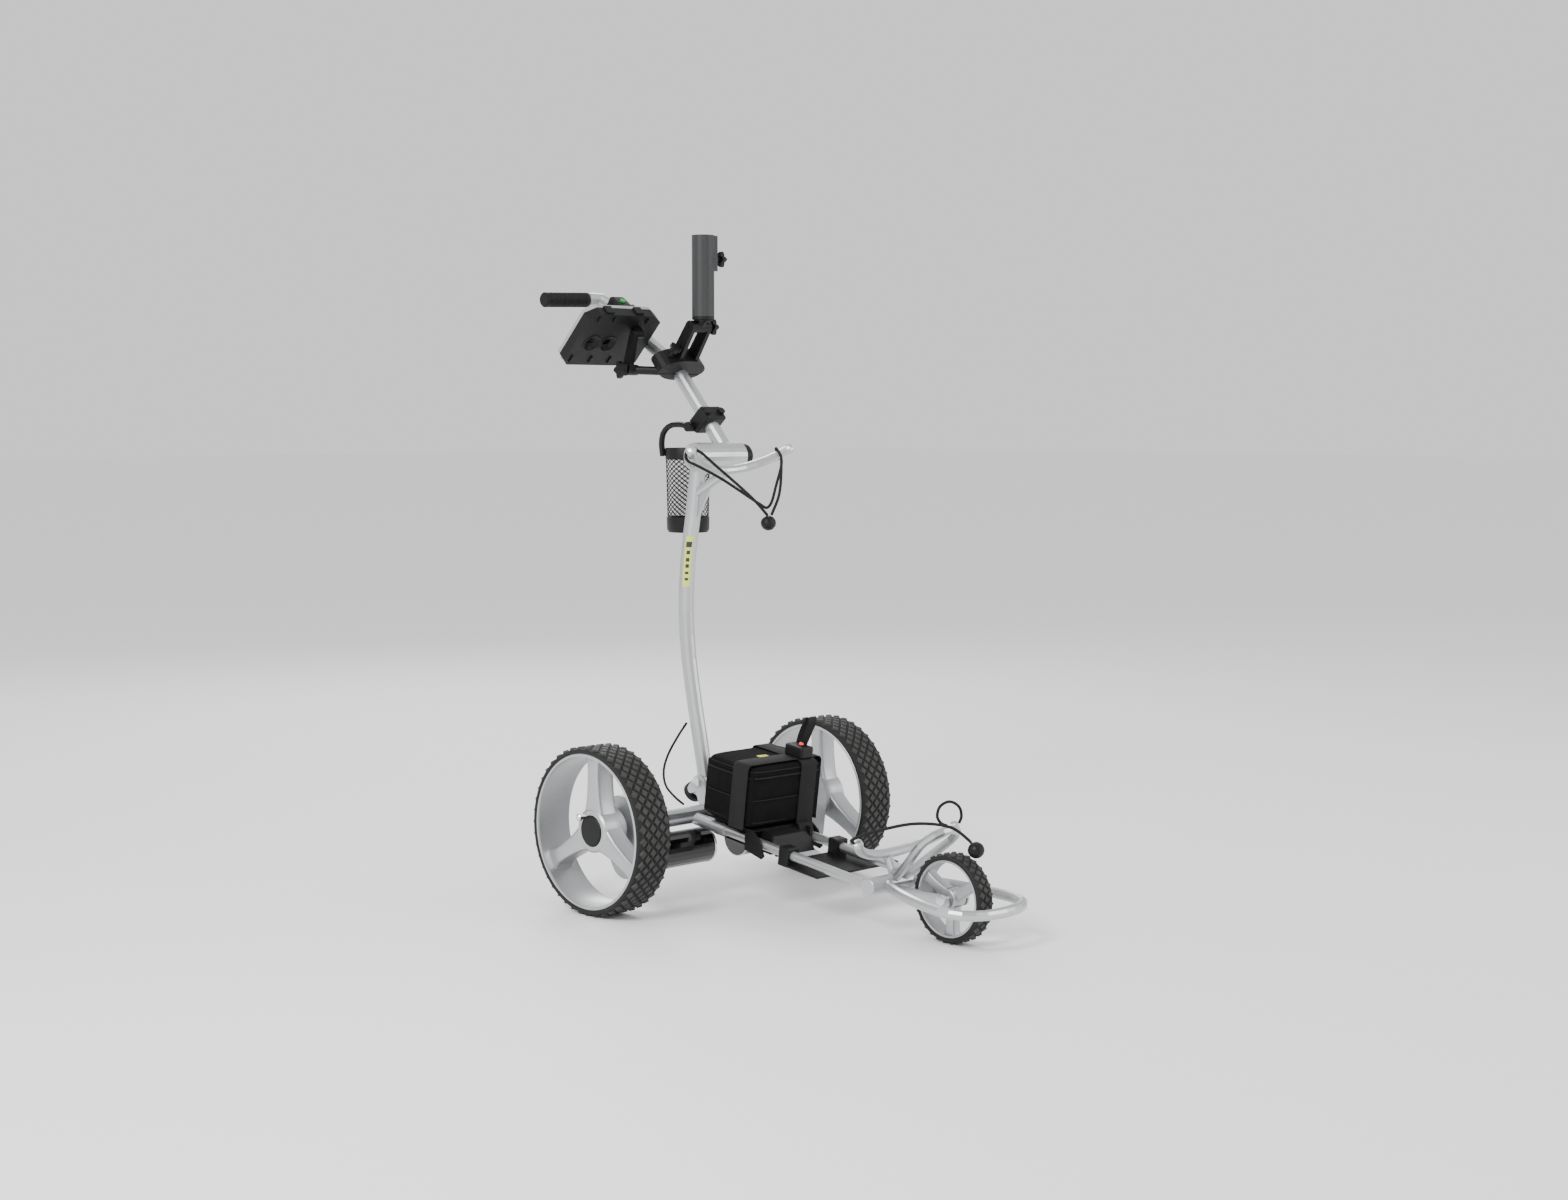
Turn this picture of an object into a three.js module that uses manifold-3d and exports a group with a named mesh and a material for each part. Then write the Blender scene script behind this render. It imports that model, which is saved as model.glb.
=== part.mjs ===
// Electric golf trolley: three wheels, twin motors on a rear axle beam, a folding upright with bag cradles,
// an offset folding handle with its accessories, and a battery bag strapped between the frame rails.
// Millimetres. +X is the travel direction, +Y is left, +Z is up.
import * as THREE from "three";
import { mergeVertices } from "three/addons/utils/BufferGeometryUtils.js";
import { RoundedBoxGeometry } from "three/addons/geometries/RoundedBoxGeometry.js";
import Module from "manifold-3d";

const wasm = await Module();
wasm.setup();

// ---------- driving sizes ----------
const GAP = 0.3; // clearance between pieces that touch
const RUN = 0.3; // clearance around a turning shaft
const EMBED = 2; // how far a welded piece runs into its neighbour

const WHEEL_R = 146; // rear wheel, tyre outside
const TRACK = 540; // between the rear wheel centre planes
const TYRE_W = 71.5;
const TYRE_DEPTH = 11.3;
const RIM_WALL = 4.4;
const SPOKE_DEPTH = 40;
const HUB_R = 38;
const HUB_INNER = -28; // hub face towards the gearbox, from the wheel centre plane
const HUB_OUTER = 21;
const AXLE_R = 8;
const CAP_R = 27;

const FRONT_R = 74; // front wheel
const FRONT_X = 567.5;
const FRONT_W = 34;
const FRONT_TYRE_DEPTH = 10.5;
const FRONT_AXLE_R = 5;

const BEAM_R = 15.5; // rear axle beam
const GEARBOX_OUT = TRACK / 2 - 44; // gearbox faces, from the mid-plane
const GEARBOX_IN = GEARBOX_OUT - 40;
const GEARBOX_WALL = 4;
const MOTOR_R = 31.5;
const MOTOR_X = 10;
const MOTOR_Z = WHEEL_R - 54;
const MOTOR_INNER = 38; // inner end of the motor can, from the mid-plane
const MOTOR_WALL = 3;
const GEAR_TEETH = 30;
const PINION_TEETH = 6;
const GEAR_W = 14;

const RAIL_Y = 60;
const RAIL_R = 8.5;
const CROSS_X = 442; // front cross tube
const CROSS_Z = 82.33;
const RAIL_Z0 = WHEEL_R - 4; // rail height over the axle
const RAIL_SLOPE = (RAIL_Z0 - CROSS_Z) / CROSS_X;
const SOCKET_R = 11;
const SOCKET_END = 92;

const CROSS_R = 15;
const CROSS_HALF = 68;
const BUMPER_R = 9;
const CRADLE_R = 8.5;
const CRADLE_HALF = 117;

const UPRIGHT_R = 14;
const PIVOT = { x: -29, z: 196 }; // fold pivot of the upright
const PIVOT_BOLT_R = 5;
const CLEVIS_T = 5;
const HOUSING = { x: -42, z: 781 }; // fold pivot of the handle
const HOUSING_R = 25;
const HOUSING_NEAR = -17; // open end, on the right
const HOUSING_SPLIT = 57;
const HOUSING_FAR = 94;
const HANDLE_BOLT_R = 6;

const HANDLE_Y = 70; // the handle tube runs beside the upright
const HANDLE_R = 13.8;
const GRIP_R = 14;
const GRIP_CORE_R = 10.5;
const GRIP_HALF = 66;

const BAG = { x: 112, z: RAIL_Z0 - RAIL_SLOPE * 112 + 26.12, length: 124, width: 174, height: 107, lid: 19, cloth: 3 };
const STRAP_T = 2;
const STRAP_W = 38;

const UMBRELLA = { x: -110, z0: 1034, z1: 1181, outer: 20.5, inner: 17.5 };
const CUP = { x: -153, z0: 639, z1: 795, outer: 42, wall: 2.5 };
const CONSOLE = { x: -249, y: -33, z: 998, width: 170, depth: 125, thick: 19, lid: 7, tilt: 45 };
const BUNGEE_R = 2.6;
const BALL_R = 13.8;

// ---------- materials ----------
const material = (color, roughness, metalness) =>
  new THREE.MeshStandardMaterial({ color, roughness, metalness });
const SILVER = () => material(0xb9bbbd, 0.38, 0.9);
const CAST = () => material(0xa2a4a6, 0.5, 0.85);
const STEEL = () => material(0xc6c8ca, 0.25, 1);
const BLACK = () => material(0x161617, 0.45, 0);
const GREY = () => material(0x3f4042, 0.5, 0);
const RUBBER = () => material(0x232322, 0.85, 0);
const CLOTH = () => material(0x1b1b1b, 0.95, 0);
const WEBBING = () => material(0x2e2e2d, 0.9, 0);

// ---------- geometry helpers ----------
const vec = (x, y, z) => new THREE.Vector3(x, y, z);
const UP_Y = vec(0, 1, 0);

function solidOf(geometry) {
  const source = geometry.index ? geometry.toNonIndexed() : geometry;
  const bare = new THREE.BufferGeometry().setAttribute("position", source.getAttribute("position"));
  const merged = mergeVertices(bare, 1e-3);
  return new wasm.Manifold(
    new wasm.Mesh({
      numProp: 3,
      vertProperties: merged.getAttribute("position").array,
      triVerts: new Uint32Array(merged.index.array),
    }),
  );
}

function geometryOf(manifold) {
  const mesh = manifold.getMesh();
  const geometry = new THREE.BufferGeometry();
  const positions = new Float32Array(mesh.numVert * 3);
  for (let i = 0; i < mesh.numVert; i++) {
    positions.set(mesh.vertProperties.subarray(i * mesh.numProp, i * mesh.numProp + 3), i * 3);
  }
  geometry.setAttribute("position", new THREE.BufferAttribute(positions, 3));
  geometry.setIndex(new THREE.BufferAttribute(new Uint32Array(mesh.triVerts), 1));
  return geometry;
}

const join = (first, ...others) =>
  geometryOf(others.reduce((sum, other) => sum.add(solidOf(other)), solidOf(first)));
const cut = (first, ...tools) =>
  geometryOf(tools.reduce((rest, tool) => rest.subtract(solidOf(tool)), solidOf(first)));

// A solid of revolution about +Y from [radius, y] points, closed on the axis or on itself.
function turned(profile, segments = 24) {
  const lathe = (points) => new THREE.LatheGeometry(points.map(([r, y]) => new THREE.Vector2(r, y)),
      segments);
  const made = lathe(profile);
  return solidOf(made).volume() > 0 ? made : lathe([...profile].reverse());
}

// A ring about +Y between two radii and two heights.
const ring = (inner, outer, y0, y1, segments = 32) =>
  turned([[inner, y0], [outer, y0], [outer, y1], [inner, y1], [inner, y0]], segments);

// A plain disc or rod about +Y.
const disc = (radius, y0, y1, segments = 20) =>
  new THREE.CylinderGeometry(radius, radius, y1 - y0, segments).translate(0, (y0 + y1) / 2, 0);

// Turns a piece made about +Y to point along a direction, then moves it to a place.
function aim(geometry, at, direction) {
  const turn = new THREE.Quaternion().setFromUnitVectors(UP_Y, direction.clone().normalize());
  return geometry.applyQuaternion(turn).translate(at.x, at.y, at.z);
}

const rod = (from, to, radius, sides = 16) =>
  aim(disc(radius, 0, from.distanceTo(to), sides), from, to.clone().sub(from));

const polygon = (points) => new THREE.Shape(points.map(([u, v]) => new THREE.Vector2(u, v)));

// A tube along a smooth curve through points.
function tube(points, radius, steps, sides = 16) {
  const path = new THREE.CatmullRomCurve3(points, false, "centripetal");
  const corners = Array.from({ length: sides }, (_, i) => (2 * Math.PI * i) / sides);
  const section = polygon(corners.map((turn) => [radius * Math.cos(turn), radius * Math.sin(turn)]));
  return new THREE.ExtrudeGeometry(section, { steps, extrudePath: path });
}

const block = (x0, x1, y0, y1, z0, z1) =>
  new THREE.BoxGeometry(x1 - x0, y1 - y0, z1 - z0).translate((x0 + x1) / 2, (y0 + y1) / 2, (z0 + z1) / 2);

// A flat plate in the XZ plane from y0 to y1, from a shape whose u and v are x and z.
const plate = (shape, y0, y1, curveSegments = 5) =>
  new THREE.ExtrudeGeometry(shape, { depth: y1 - y0, bevelEnabled: false, curveSegments })
    .rotateX(Math.PI / 2)
    .translate(0, y1, 0);

// The outline around two circles.
function eggShape(a, b) {
  const along = Math.atan2(b.v - a.v, b.u - a.u);
  const distance = Math.hypot(b.u - a.u, b.v - a.v);
  const lean = Math.acos((a.r - b.r) / distance);
  const shape = new THREE.Shape();
  shape.absarc(a.u, a.v, a.r, along + lean, along + 2 * Math.PI - lean, false);
  shape.absarc(b.u, b.v, b.r, along - lean, along + lean, false);
  return shape;
}

function hexBolt(headR, headT, shankR, length) {
  return join(disc(headR, -headT, 0, 6), disc(shankR, -EMBED, length, 18));
}

// A lobed clamping knob: stem from y = 0, wings on top.
function starKnob(radius, stemR, stemLength, thickness, lobes = 5) {
  const steps = lobes * 4;
  const outline = Array.from({ length: steps }, (_, i) => {
    const turn = (2 * Math.PI * i) / steps;
    const r = radius * (0.82 + 0.18 * Math.cos(lobes * turn));
    return [r * Math.cos(turn), r * Math.sin(turn)];
  });
  const wings = new THREE.ExtrudeGeometry(polygon(outline), { depth: thickness, bevelEnabled: false })
    .rotateX(-Math.PI / 2)
    .translate(0, stemLength, 0);
  return join(wings, disc(stemR, 0, stemLength + EMBED, 14));
}

// ---------- assembly helpers ----------
const trolley = new THREE.Group();
const freeCords = new Set();

function add(name, geometry, look, parent = trolley) {
  const mesh = new THREE.Mesh(geometry, look);
  mesh.name = name;
  parent.add(mesh);
  return mesh;
}

function group(x, y, z, parent = trolley) {
  const made = new THREE.Group();
  made.position.set(x, y, z);
  parent.add(made);
  return made;
}

const railZ = (x) => RAIL_Z0 - RAIL_SLOPE * x;
const SIDES = [["left", 1], ["right", -1]];

// ---------- rear wheels ----------
const RIM_R = WHEEL_R - TYRE_DEPTH - GAP;

function tyreProfile(outer, inner, width, shoulder) {
  const half = width / 2;
  return [
    [inner, -half],
    [outer - shoulder, -half],
    [outer, -half + shoulder],
    [outer, half - shoulder],
    [outer - shoulder, half],
    [inner, half],
    [inner, -half],
  ];
}

// Three tapered box spokes between the hub and the rim barrel, the first one straight up.
function spokes(innerR, outerR, hubWidth, rimWidth, y0, y1, firstAngle) {
  return [0, 1, 2].map((i) => {
    const spoke = plate(
      polygon([
        [innerR, -hubWidth / 2],
        [outerR, -rimWidth / 2],
        [outerR, rimWidth / 2],
        [innerR, hubWidth / 2],
      ]),
      y0,
      y1,
    );
    return spoke.rotateY(-firstAngle - (i * 2 * Math.PI) / 3);
  });
}

function rearRim() {
  const half = TYRE_W / 2 - 1;
  const barrel = ring(RIM_R - RIM_WALL, RIM_R, -half, half, 36);
  const hub = disc(HUB_R, HUB_INNER, HUB_OUTER, 20);
  const arms = spokes(HUB_R - 6, RIM_R - RIM_WALL + EMBED, 36, 26, -SPOKE_DEPTH / 2, SPOKE_DEPTH / 2,
      Math.PI / 2);
  const bore = disc(AXLE_R + GAP, HUB_INNER - 1, HUB_OUTER + 1, 18);
  const recess = disc(CAP_R + GAP, HUB_OUTER - 3.7, HUB_OUTER + 1, 20);
  return cut(join(barrel, hub, ...arms), bore, recess);
}

function rearWheel(side, sign) {
  const wheel = group(0, (sign * TRACK) / 2, WHEEL_R);
  wheel.rotation.z = sign > 0 ? 0 : Math.PI;
  add(`rear_tyre_${side}`, turned(tyreProfile(WHEEL_R, RIM_R + GAP, TYRE_W, 6), 36), RUBBER(), wheel);
  add(`rear_rim_${side}`, rearRim(), CAST(), wheel);
  const seat = HUB_OUTER - 3.7 + GAP;
  const cap = turned([[0, seat], [CAP_R, seat], [CAP_R, HUB_OUTER], [CAP_R - 2, HUB_OUTER + 2],
      [0, HUB_OUTER + 2.5]], 20);
  add(`hub_cap_${side}`, cap, BLACK(), wheel);
}

// ---------- gearboxes and motors ----------
const GEAR_DISTANCE = Math.hypot(MOTOR_X, WHEEL_R - MOTOR_Z);
const GEAR_MODULE = (2 * GEAR_DISTANCE) / (GEAR_TEETH + PINION_TEETH);
const MESH_ANGLE = Math.atan2(MOTOR_Z - WHEEL_R, MOTOR_X); // from the axle to the pinion, in x and z
const GEAR_Y0 = GEARBOX_IN + 12;
const FLANK = { root: 0.62, tip: 0.18 }; // tooth thickness as a share of the pitch
const ADDENDUM = 0.85;
const DEDENDUM = 1.15;

// A spur gear outline with one tooth centred on an angle.
function gearOutline(teeth, toothAngle) {
  const pitchR = (GEAR_MODULE * teeth) / 2;
  const step = (2 * Math.PI) / teeth;
  const points = [];
  for (let i = 0; i < teeth; i++) {
    const middle = toothAngle + i * step;
    const corners = [
      [pitchR - DEDENDUM * GEAR_MODULE, -FLANK.root],
      [pitchR + ADDENDUM * GEAR_MODULE, -FLANK.tip],
      [pitchR + ADDENDUM * GEAR_MODULE, FLANK.tip],
      [pitchR - DEDENDUM * GEAR_MODULE, FLANK.root],
    ];
    for (const [r, share] of corners) {
      const angle = middle + (share * step) / 2;
      points.push([r * Math.cos(angle), r * Math.sin(angle)]);
    }
  }
  return polygon(points);
}

function driveUnit(side, sign) {
  const unit = group(0, 0, 0);
  unit.scale.y = sign;
  const outer = eggShape({ u: 0, v: WHEEL_R, r: 54 }, { u: MOTOR_X, v: MOTOR_Z, r: 37 });
  const inner = eggShape({ u: 0, v: WHEEL_R, r: 54 - GEARBOX_WALL },
      { u: MOTOR_X, v: MOTOR_Z, r: 37 - GEARBOX_WALL });
  const flangeEnd = GEARBOX_IN + GEARBOX_WALL + 2;
  const axleHole = disc(AXLE_R + RUN, flangeEnd, GEARBOX_OUT + 12, 18).translate(0, 0, WHEEL_R);
  const nose = disc(19, GEARBOX_OUT - EMBED, GEARBOX_OUT + 6, 16).translate(0, 0, WHEEL_R);
  const housing = cut(
    join(plate(outer, flangeEnd + GAP, GEARBOX_OUT), nose),
    plate(inner, flangeEnd - 1, GEARBOX_OUT - GEARBOX_WALL),
    axleHole,
  );
  add(`gearbox_housing_${side}`, housing, CAST(), unit);
  const motorPlace = (geometry) => geometry.translate(MOTOR_X, 0, MOTOR_Z);
  // The motor can ends in the flange that closes the gearbox and carries the inner end of the axle.
  const can = cut(
    join(motorPlace(disc(MOTOR_R, MOTOR_INNER, GEARBOX_IN + EMBED, 24)), plate(outer, GEARBOX_IN, flangeEnd)),
    motorPlace(disc(MOTOR_R - MOTOR_WALL, MOTOR_INNER + MOTOR_WALL, GEARBOX_IN - 4, 24)),
    motorPlace(disc(8, GEARBOX_IN - 5, flangeEnd + 1, 12)),
    disc(AXLE_R + RUN, GEARBOX_IN + 2, flangeEnd + 1, 18).translate(0, 0, WHEEL_R),
  );
  add(`motor_can_${side}`, can, BLACK(), unit);
  // A gap of the gear faces the pinion, and a tooth of the pinion faces the gear.
  const gapAngle = MESH_ANGLE + Math.PI / GEAR_TEETH;
  const gear = plate(gearOutline(GEAR_TEETH, gapAngle), GEAR_Y0, GEAR_Y0 + GEAR_W);
  const shaftEnd = TRACK / 2 + HUB_OUTER - 4;
  const shaft = join(gear, disc(AXLE_R, GEARBOX_IN + 2 + GAP, shaftEnd, 18)).translate(0, 0, WHEEL_R);
  add(`axle_shaft_${side}`, shaft, STEEL(), unit);
  const rotor = join(
    disc(21, MOTOR_INNER + 16, GEARBOX_IN - 20, 16),
    disc(4.5, MOTOR_INNER + MOTOR_WALL + 1, GEAR_Y0 + GEAR_W, 12),
    plate(gearOutline(PINION_TEETH, MESH_ANGLE + Math.PI), GEAR_Y0, GEAR_Y0 + GEAR_W),
  );
  add(`motor_rotor_${side}`, motorPlace(rotor), STEEL(), unit);
}

// ---------- axle beam, rails and sockets ----------
const socketAxis = vec(1, 0, -RAIL_SLOPE).normalize();
const onRail = (x, y) => vec(x, y, railZ(x));

// A point on the lower knob's stud, which aims at the pivot from behind and below.
const LOCK_ANGLE = THREE.MathUtils.degToRad(35);
const LOCK_STUD_R = 3.5;
const lockPoint = (distance) =>
  vec(PIVOT.x - distance * Math.cos(LOCK_ANGLE), 0, PIVOT.z - distance * Math.sin(LOCK_ANGLE));

function axleBeam() {
  const pieces = [aim(disc(BEAM_R, -GEARBOX_IN + GAP, GEARBOX_IN - GAP, 20), vec(0, 0, WHEEL_R), UP_Y)];
  const tools = [];
  for (const [, sign] of SIDES) {
    const y = sign * RAIL_Y;
    pieces.push(rod(onRail(2, y), onRail(SOCKET_END, y), SOCKET_R, 14));
    tools.push(rod(onRail(26, y), onRail(SOCKET_END + 2, y), RAIL_R + GAP, 14));
    // Clevis plate up to the fold pivot, with its web behind the upright's foot.
    const inner = UPRIGHT_R + 2 * GAP;
    const ear = eggShape({ u: -6, v: WHEEL_R + 4, r: 15 }, { u: PIVOT.x, v: PIVOT.z, r: 13 });
    const lock = lockPoint(UPRIGHT_R + 10);
    const heel = eggShape({ u: PIVOT.x, v: PIVOT.z, r: 13 }, { u: lock.x, v: lock.z, r: 8 });
    const span = sign > 0 ? [inner, inner + CLEVIS_T] : [-inner - CLEVIS_T, -inner];
    pieces.push(plate(ear, ...span), plate(heel, ...span));
  }
  // The lock block behind the upright's foot takes the stud of the lower knob.
  pieces.push(rod(lockPoint(UPRIGHT_R + 6), lockPoint(UPRIGHT_R + 15), UPRIGHT_R + 1, 16));
  tools.push(rod(lockPoint(0), lockPoint(60), LOCK_STUD_R + GAP, 12));
  tools.push(disc(PIVOT_BOLT_R + GAP, -40, 40, 12).translate(PIVOT.x, 0, PIVOT.z));
  add("axle_beam", cut(join(...pieces), ...tools), SILVER());
}

function rails() {
  for (const [side, sign] of SIDES) {
    const y = sign * RAIL_Y;
    add(`rail_${side}`, cut(rod(onRail(26 + GAP, y), onRail(CROSS_X, y), RAIL_R, 14), crossRoom()), SILVER());
  }
}

// ---------- front end ----------
const CROSS = vec(CROSS_X, 0, railZ(CROSS_X));

const crossRoom = () => aim(disc(CROSS_R + GAP, -CROSS_HALF - 1, CROSS_HALF + 1, 18), CROSS, UP_Y);

// Half of the teardrop bumper loop, from the cross tube to its nose: x, y and height.
const BUMPER_HALF = [[CROSS_X + 4, 30, 84], [478, 47, 81], [520, 64, 78], [577, 79, 74], [622, 83, 71],
    [653, 72, 69],
  [669, 46, 67.5], [674, 16, 67]];
const FORK_T = 4;
const FORK_IN = FRONT_W / 2 + 5;

// The welded front frame: closed cross tube, bumper loop and the fork plates of the front wheel.
function frontFrame() {
  const end = CROSS_HALF + 3;
  const rim = CROSS_R - 1;
  const cross = turned([[0, -end], [rim, -end], [CROSS_R, 1 - end], [CROSS_R, end - 1], [rim, end],
      [0, end]], 18);
  const left = BUMPER_HALF.map(([x, y, z]) => vec(x, y, z));
  const right = BUMPER_HALF.map(([x, y, z]) => vec(x, -y, z)).reverse();
  const pieces = [tube([...left, ...right], BUMPER_R, 30, 10)];
  for (const [, sign] of SIDES) {
    const arm = eggShape({ u: CROSS_X + 4, v: CROSS.z - 7, r: 9 }, { u: FRONT_X, v: FRONT_R - 4, r: 12 });
    pieces.push(plate(arm, sign > 0 ? FORK_IN : -FORK_IN - FORK_T, sign > 0 ? FORK_IN + FORK_T : -FORK_IN));
  }
  const hole = disc(FRONT_AXLE_R + GAP, -60, 60, 12).translate(FRONT_X, 0, FRONT_R);
  add("front_frame", cut(join(aim(cross, CROSS, UP_Y), ...pieces), hole), SILVER());
}

// Curved cradle: an arc between two raised ends, dipping to its middle.
function cradlePoints(endX, endZ, middleX, middleZ) {
  const dip = Math.hypot(endX - middleX, endZ - middleZ);
  const radius = (CRADLE_HALF ** 2 + dip ** 2) / (2 * dip);
  const reach = Math.asin(CRADLE_HALF / radius);
  const rise = vec((endX - middleX) / dip, 0, (endZ - middleZ) / dip);
  return Array.from({ length: 13 }, (_, i) => {
    const turn = reach * (i / 6 - 1);
    const lift = radius * (1 - Math.cos(turn));
    return vec(middleX + rise.x * lift, radius * Math.sin(turn), middleZ + rise.z * lift);
  });
}

// A cradle tube with its two rounded end plugs.
function cradleTube(points) {
  const ends = [[points[0], points[1]], [points.at(-1), points.at(-2)]];
  const plugs = ends.map(([end, before]) => {
    const plug = turned([[0, -3], [CRADLE_R + 0.8, -3], [CRADLE_R + 0.8, 3], [CRADLE_R - 2, 7.5], [0, 8.5]],
        10);
    return aim(plug, end, end.clone().sub(before));
  });
  return join(tube(points, CRADLE_R, 12, 10), ...plugs);
}

const LOWER_CRADLE = cradlePoints(465, 163, 422, 127);
const UPPER_CRADLE = cradlePoints(65, 794, 22, 757);
const REST_LEAN = THREE.MathUtils.degToRad(41);
const REST_R = 7.5;
// Half of the bag rest, from its foot to its tip: distance up the slope and half width.
const REST_HALF = [[0, 11], [22, 15], [50, 22], [80, 31], [104, 37], [124, 34], [137, 20], [141, 6]];

// The lower cradle with its post, and the bag rest that leans over the front wheel.
function lowerCradle() {
  const post = rod(vec(CROSS_X - 2, 0, CROSS.z), vec(422, 0, 124), 8, 12);
  const place = (s, y) => vec(CROSS_X + 9 + s * Math.cos(REST_LEAN), y,
      CROSS.z + 9 + s * Math.sin(REST_LEAN));
  const loop = [...REST_HALF.map(([s, y]) => place(s, -y)),
      ...REST_HALF.map(([s, y]) => place(s, y)).reverse()];
  const saddle = rod(vec(CROSS_X - 6, 0, CROSS.z + CROSS_R), vec(CROSS_X + 12, 0, CROSS.z + CROSS_R), 8, 12);
  const welded = join(cradleTube(LOWER_CRADLE), post, saddle, tube(loop, REST_R, 22, 8));
  add("lower_cradle", cut(welded, crossRoom()), SILVER());
}

// ---------- front wheel ----------
function frontWheel() {
  const wheel = group(FRONT_X, 0, FRONT_R);
  const rimR = FRONT_R - FRONT_TYRE_DEPTH - GAP;
  add("front_tyre", turned(tyreProfile(FRONT_R, rimR + GAP, FRONT_W, 5), 30), RUBBER(), wheel);
  const barrel = ring(rimR - 3, rimR, -FRONT_W / 2 + 1, FRONT_W / 2 - 1, 30);
  const hub = disc(16, -15, 15, 18);
  const arms = spokes(13, rimR - 3 + EMBED, 20, 15, -10, 10, -Math.PI / 2);
  add("front_rim", cut(join(barrel, hub, ...arms), disc(FRONT_AXLE_R + RUN, -16, 16, 18)), CAST(), wheel);
  // The axle bolt runs through both fork plates, with its nut on the left.
  const reach = FORK_IN + FORK_T + GAP;
  const bolt = join(hexBolt(9, 6, FRONT_AXLE_R, 2 * reach + 8), disc(8.5, 2 * reach, 2 * reach + 7, 6));
  add("front_axle_bolt", aim(bolt, vec(FRONT_X, -reach, FRONT_R), UP_Y), STEEL());
}

// ---------- upright with the upper cradle ----------
const UPRIGHT_POINTS = [[-29, 196], [-34, 222], [-45, 275], [-60, 341], [-76, 431], [-81, 503], [-79, 558],
    [-73, 612],
  [-64, 660], [-57, 703], [-52, 740], [-47, 766]].map(([x, z]) => vec(x, 0, z));

function upright() {
  const shaft = tube(UPRIGHT_POINTS, UPRIGHT_R, 13, 14);
  const foot = disc(UPRIGHT_R, -UPRIGHT_R + GAP, UPRIGHT_R - GAP, 14).translate(PIVOT.x, 0, PIVOT.z);
  const barrel = disc(HOUSING_R, HOUSING_NEAR, HOUSING_SPLIT, 20).translate(HOUSING.x, 0, HOUSING.z);
  const mouth = disc(HOUSING_R - 5, HOUSING_NEAR - 1, HOUSING_NEAR + 16, 18).translate(HOUSING.x, 0,
      HOUSING.z);
  const bore = disc(HANDLE_BOLT_R + GAP, HOUSING_NEAR, HOUSING_SPLIT + 1, 12).translate(HOUSING.x, 0,
      HOUSING.z);
  const pivotBore = disc(PIVOT_BOLT_R + GAP, -UPRIGHT_R - 1, UPRIGHT_R + 1, 12).translate(PIVOT.x, 0,
      PIVOT.z);
  add("upright_tube", cut(join(shaft, foot, barrel), mouth, bore, pivotBore), SILVER());

  const brace = rod(vec(-56, 0, 712), vec(22, 0, 752), 9, 14);
  const gusset = plate(polygon([[-60, 652], [-6, 736], [-60, 736]]), -2.5, 2.5);
  const room = tube(UPRIGHT_POINTS, UPRIGHT_R + GAP, 13, 14);
  const housingRoom = disc(HOUSING_R + GAP, HOUSING_NEAR - 1, HOUSING_SPLIT + 1, 20).translate(HOUSING.x, 0,
      HOUSING.z);
  const behind = block(-140, -62, -30, 30, 640, 760);
  add("upper_cradle", cut(join(cradleTube(UPPER_CRADLE), brace, gusset), room, housingRoom, behind),
      SILVER());
}

// Bolt and locking knob of the lower fold pivot.
function lowerPivot() {
  const half = UPRIGHT_R + 3 * GAP + CLEVIS_T;
  const bolt = join(hexBolt(10, 6, PIVOT_BOLT_R, 2 * half + 8), disc(9, 2 * half, 2 * half + 7, 6));
  add("pivot_bolt", aim(bolt, vec(PIVOT.x, -half, PIVOT.z), UP_Y), STEEL());
  const grip = turned([[0, 0], [16, 0], [19, 3], [19, 12], [16, 15], [0, 15]], 18);
  const outward = lockPoint(1).sub(lockPoint(0));
  const stud = rod(lockPoint(UPRIGHT_R + 1), lockPoint(42), LOCK_STUD_R, 12);
  add("lower_lock_knob", join(stud, aim(grip, lockPoint(UPRIGHT_R + 18), outward)), BLACK());
}

// ---------- handle ----------
const BOLT_SEAT = HOUSING_NEAR + 16 - GAP; // the hinge bolt's head rests in the open mouth of the housing
const HANDLE_POINTS = [[-42, 70, 781], [-63, 70, 806], [-103, 70, 851], [-144, 70, 897], [-184, 70, 940],
    [-208, 70, 958],
  [-258, 70, 987], [-330, 70, 1036], [-380, 69, 1068], [-399, 58, 1075],
      [-404, 42, 1074]].map((p) => vec(...p));
const tubeDir = vec(-0.66, 0, 0.75).normalize(); // of the lower, straight stretch
const onHandle = (t) => HANDLE_POINTS[1].clone().addScaledVector(tubeDir, t);

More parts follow.
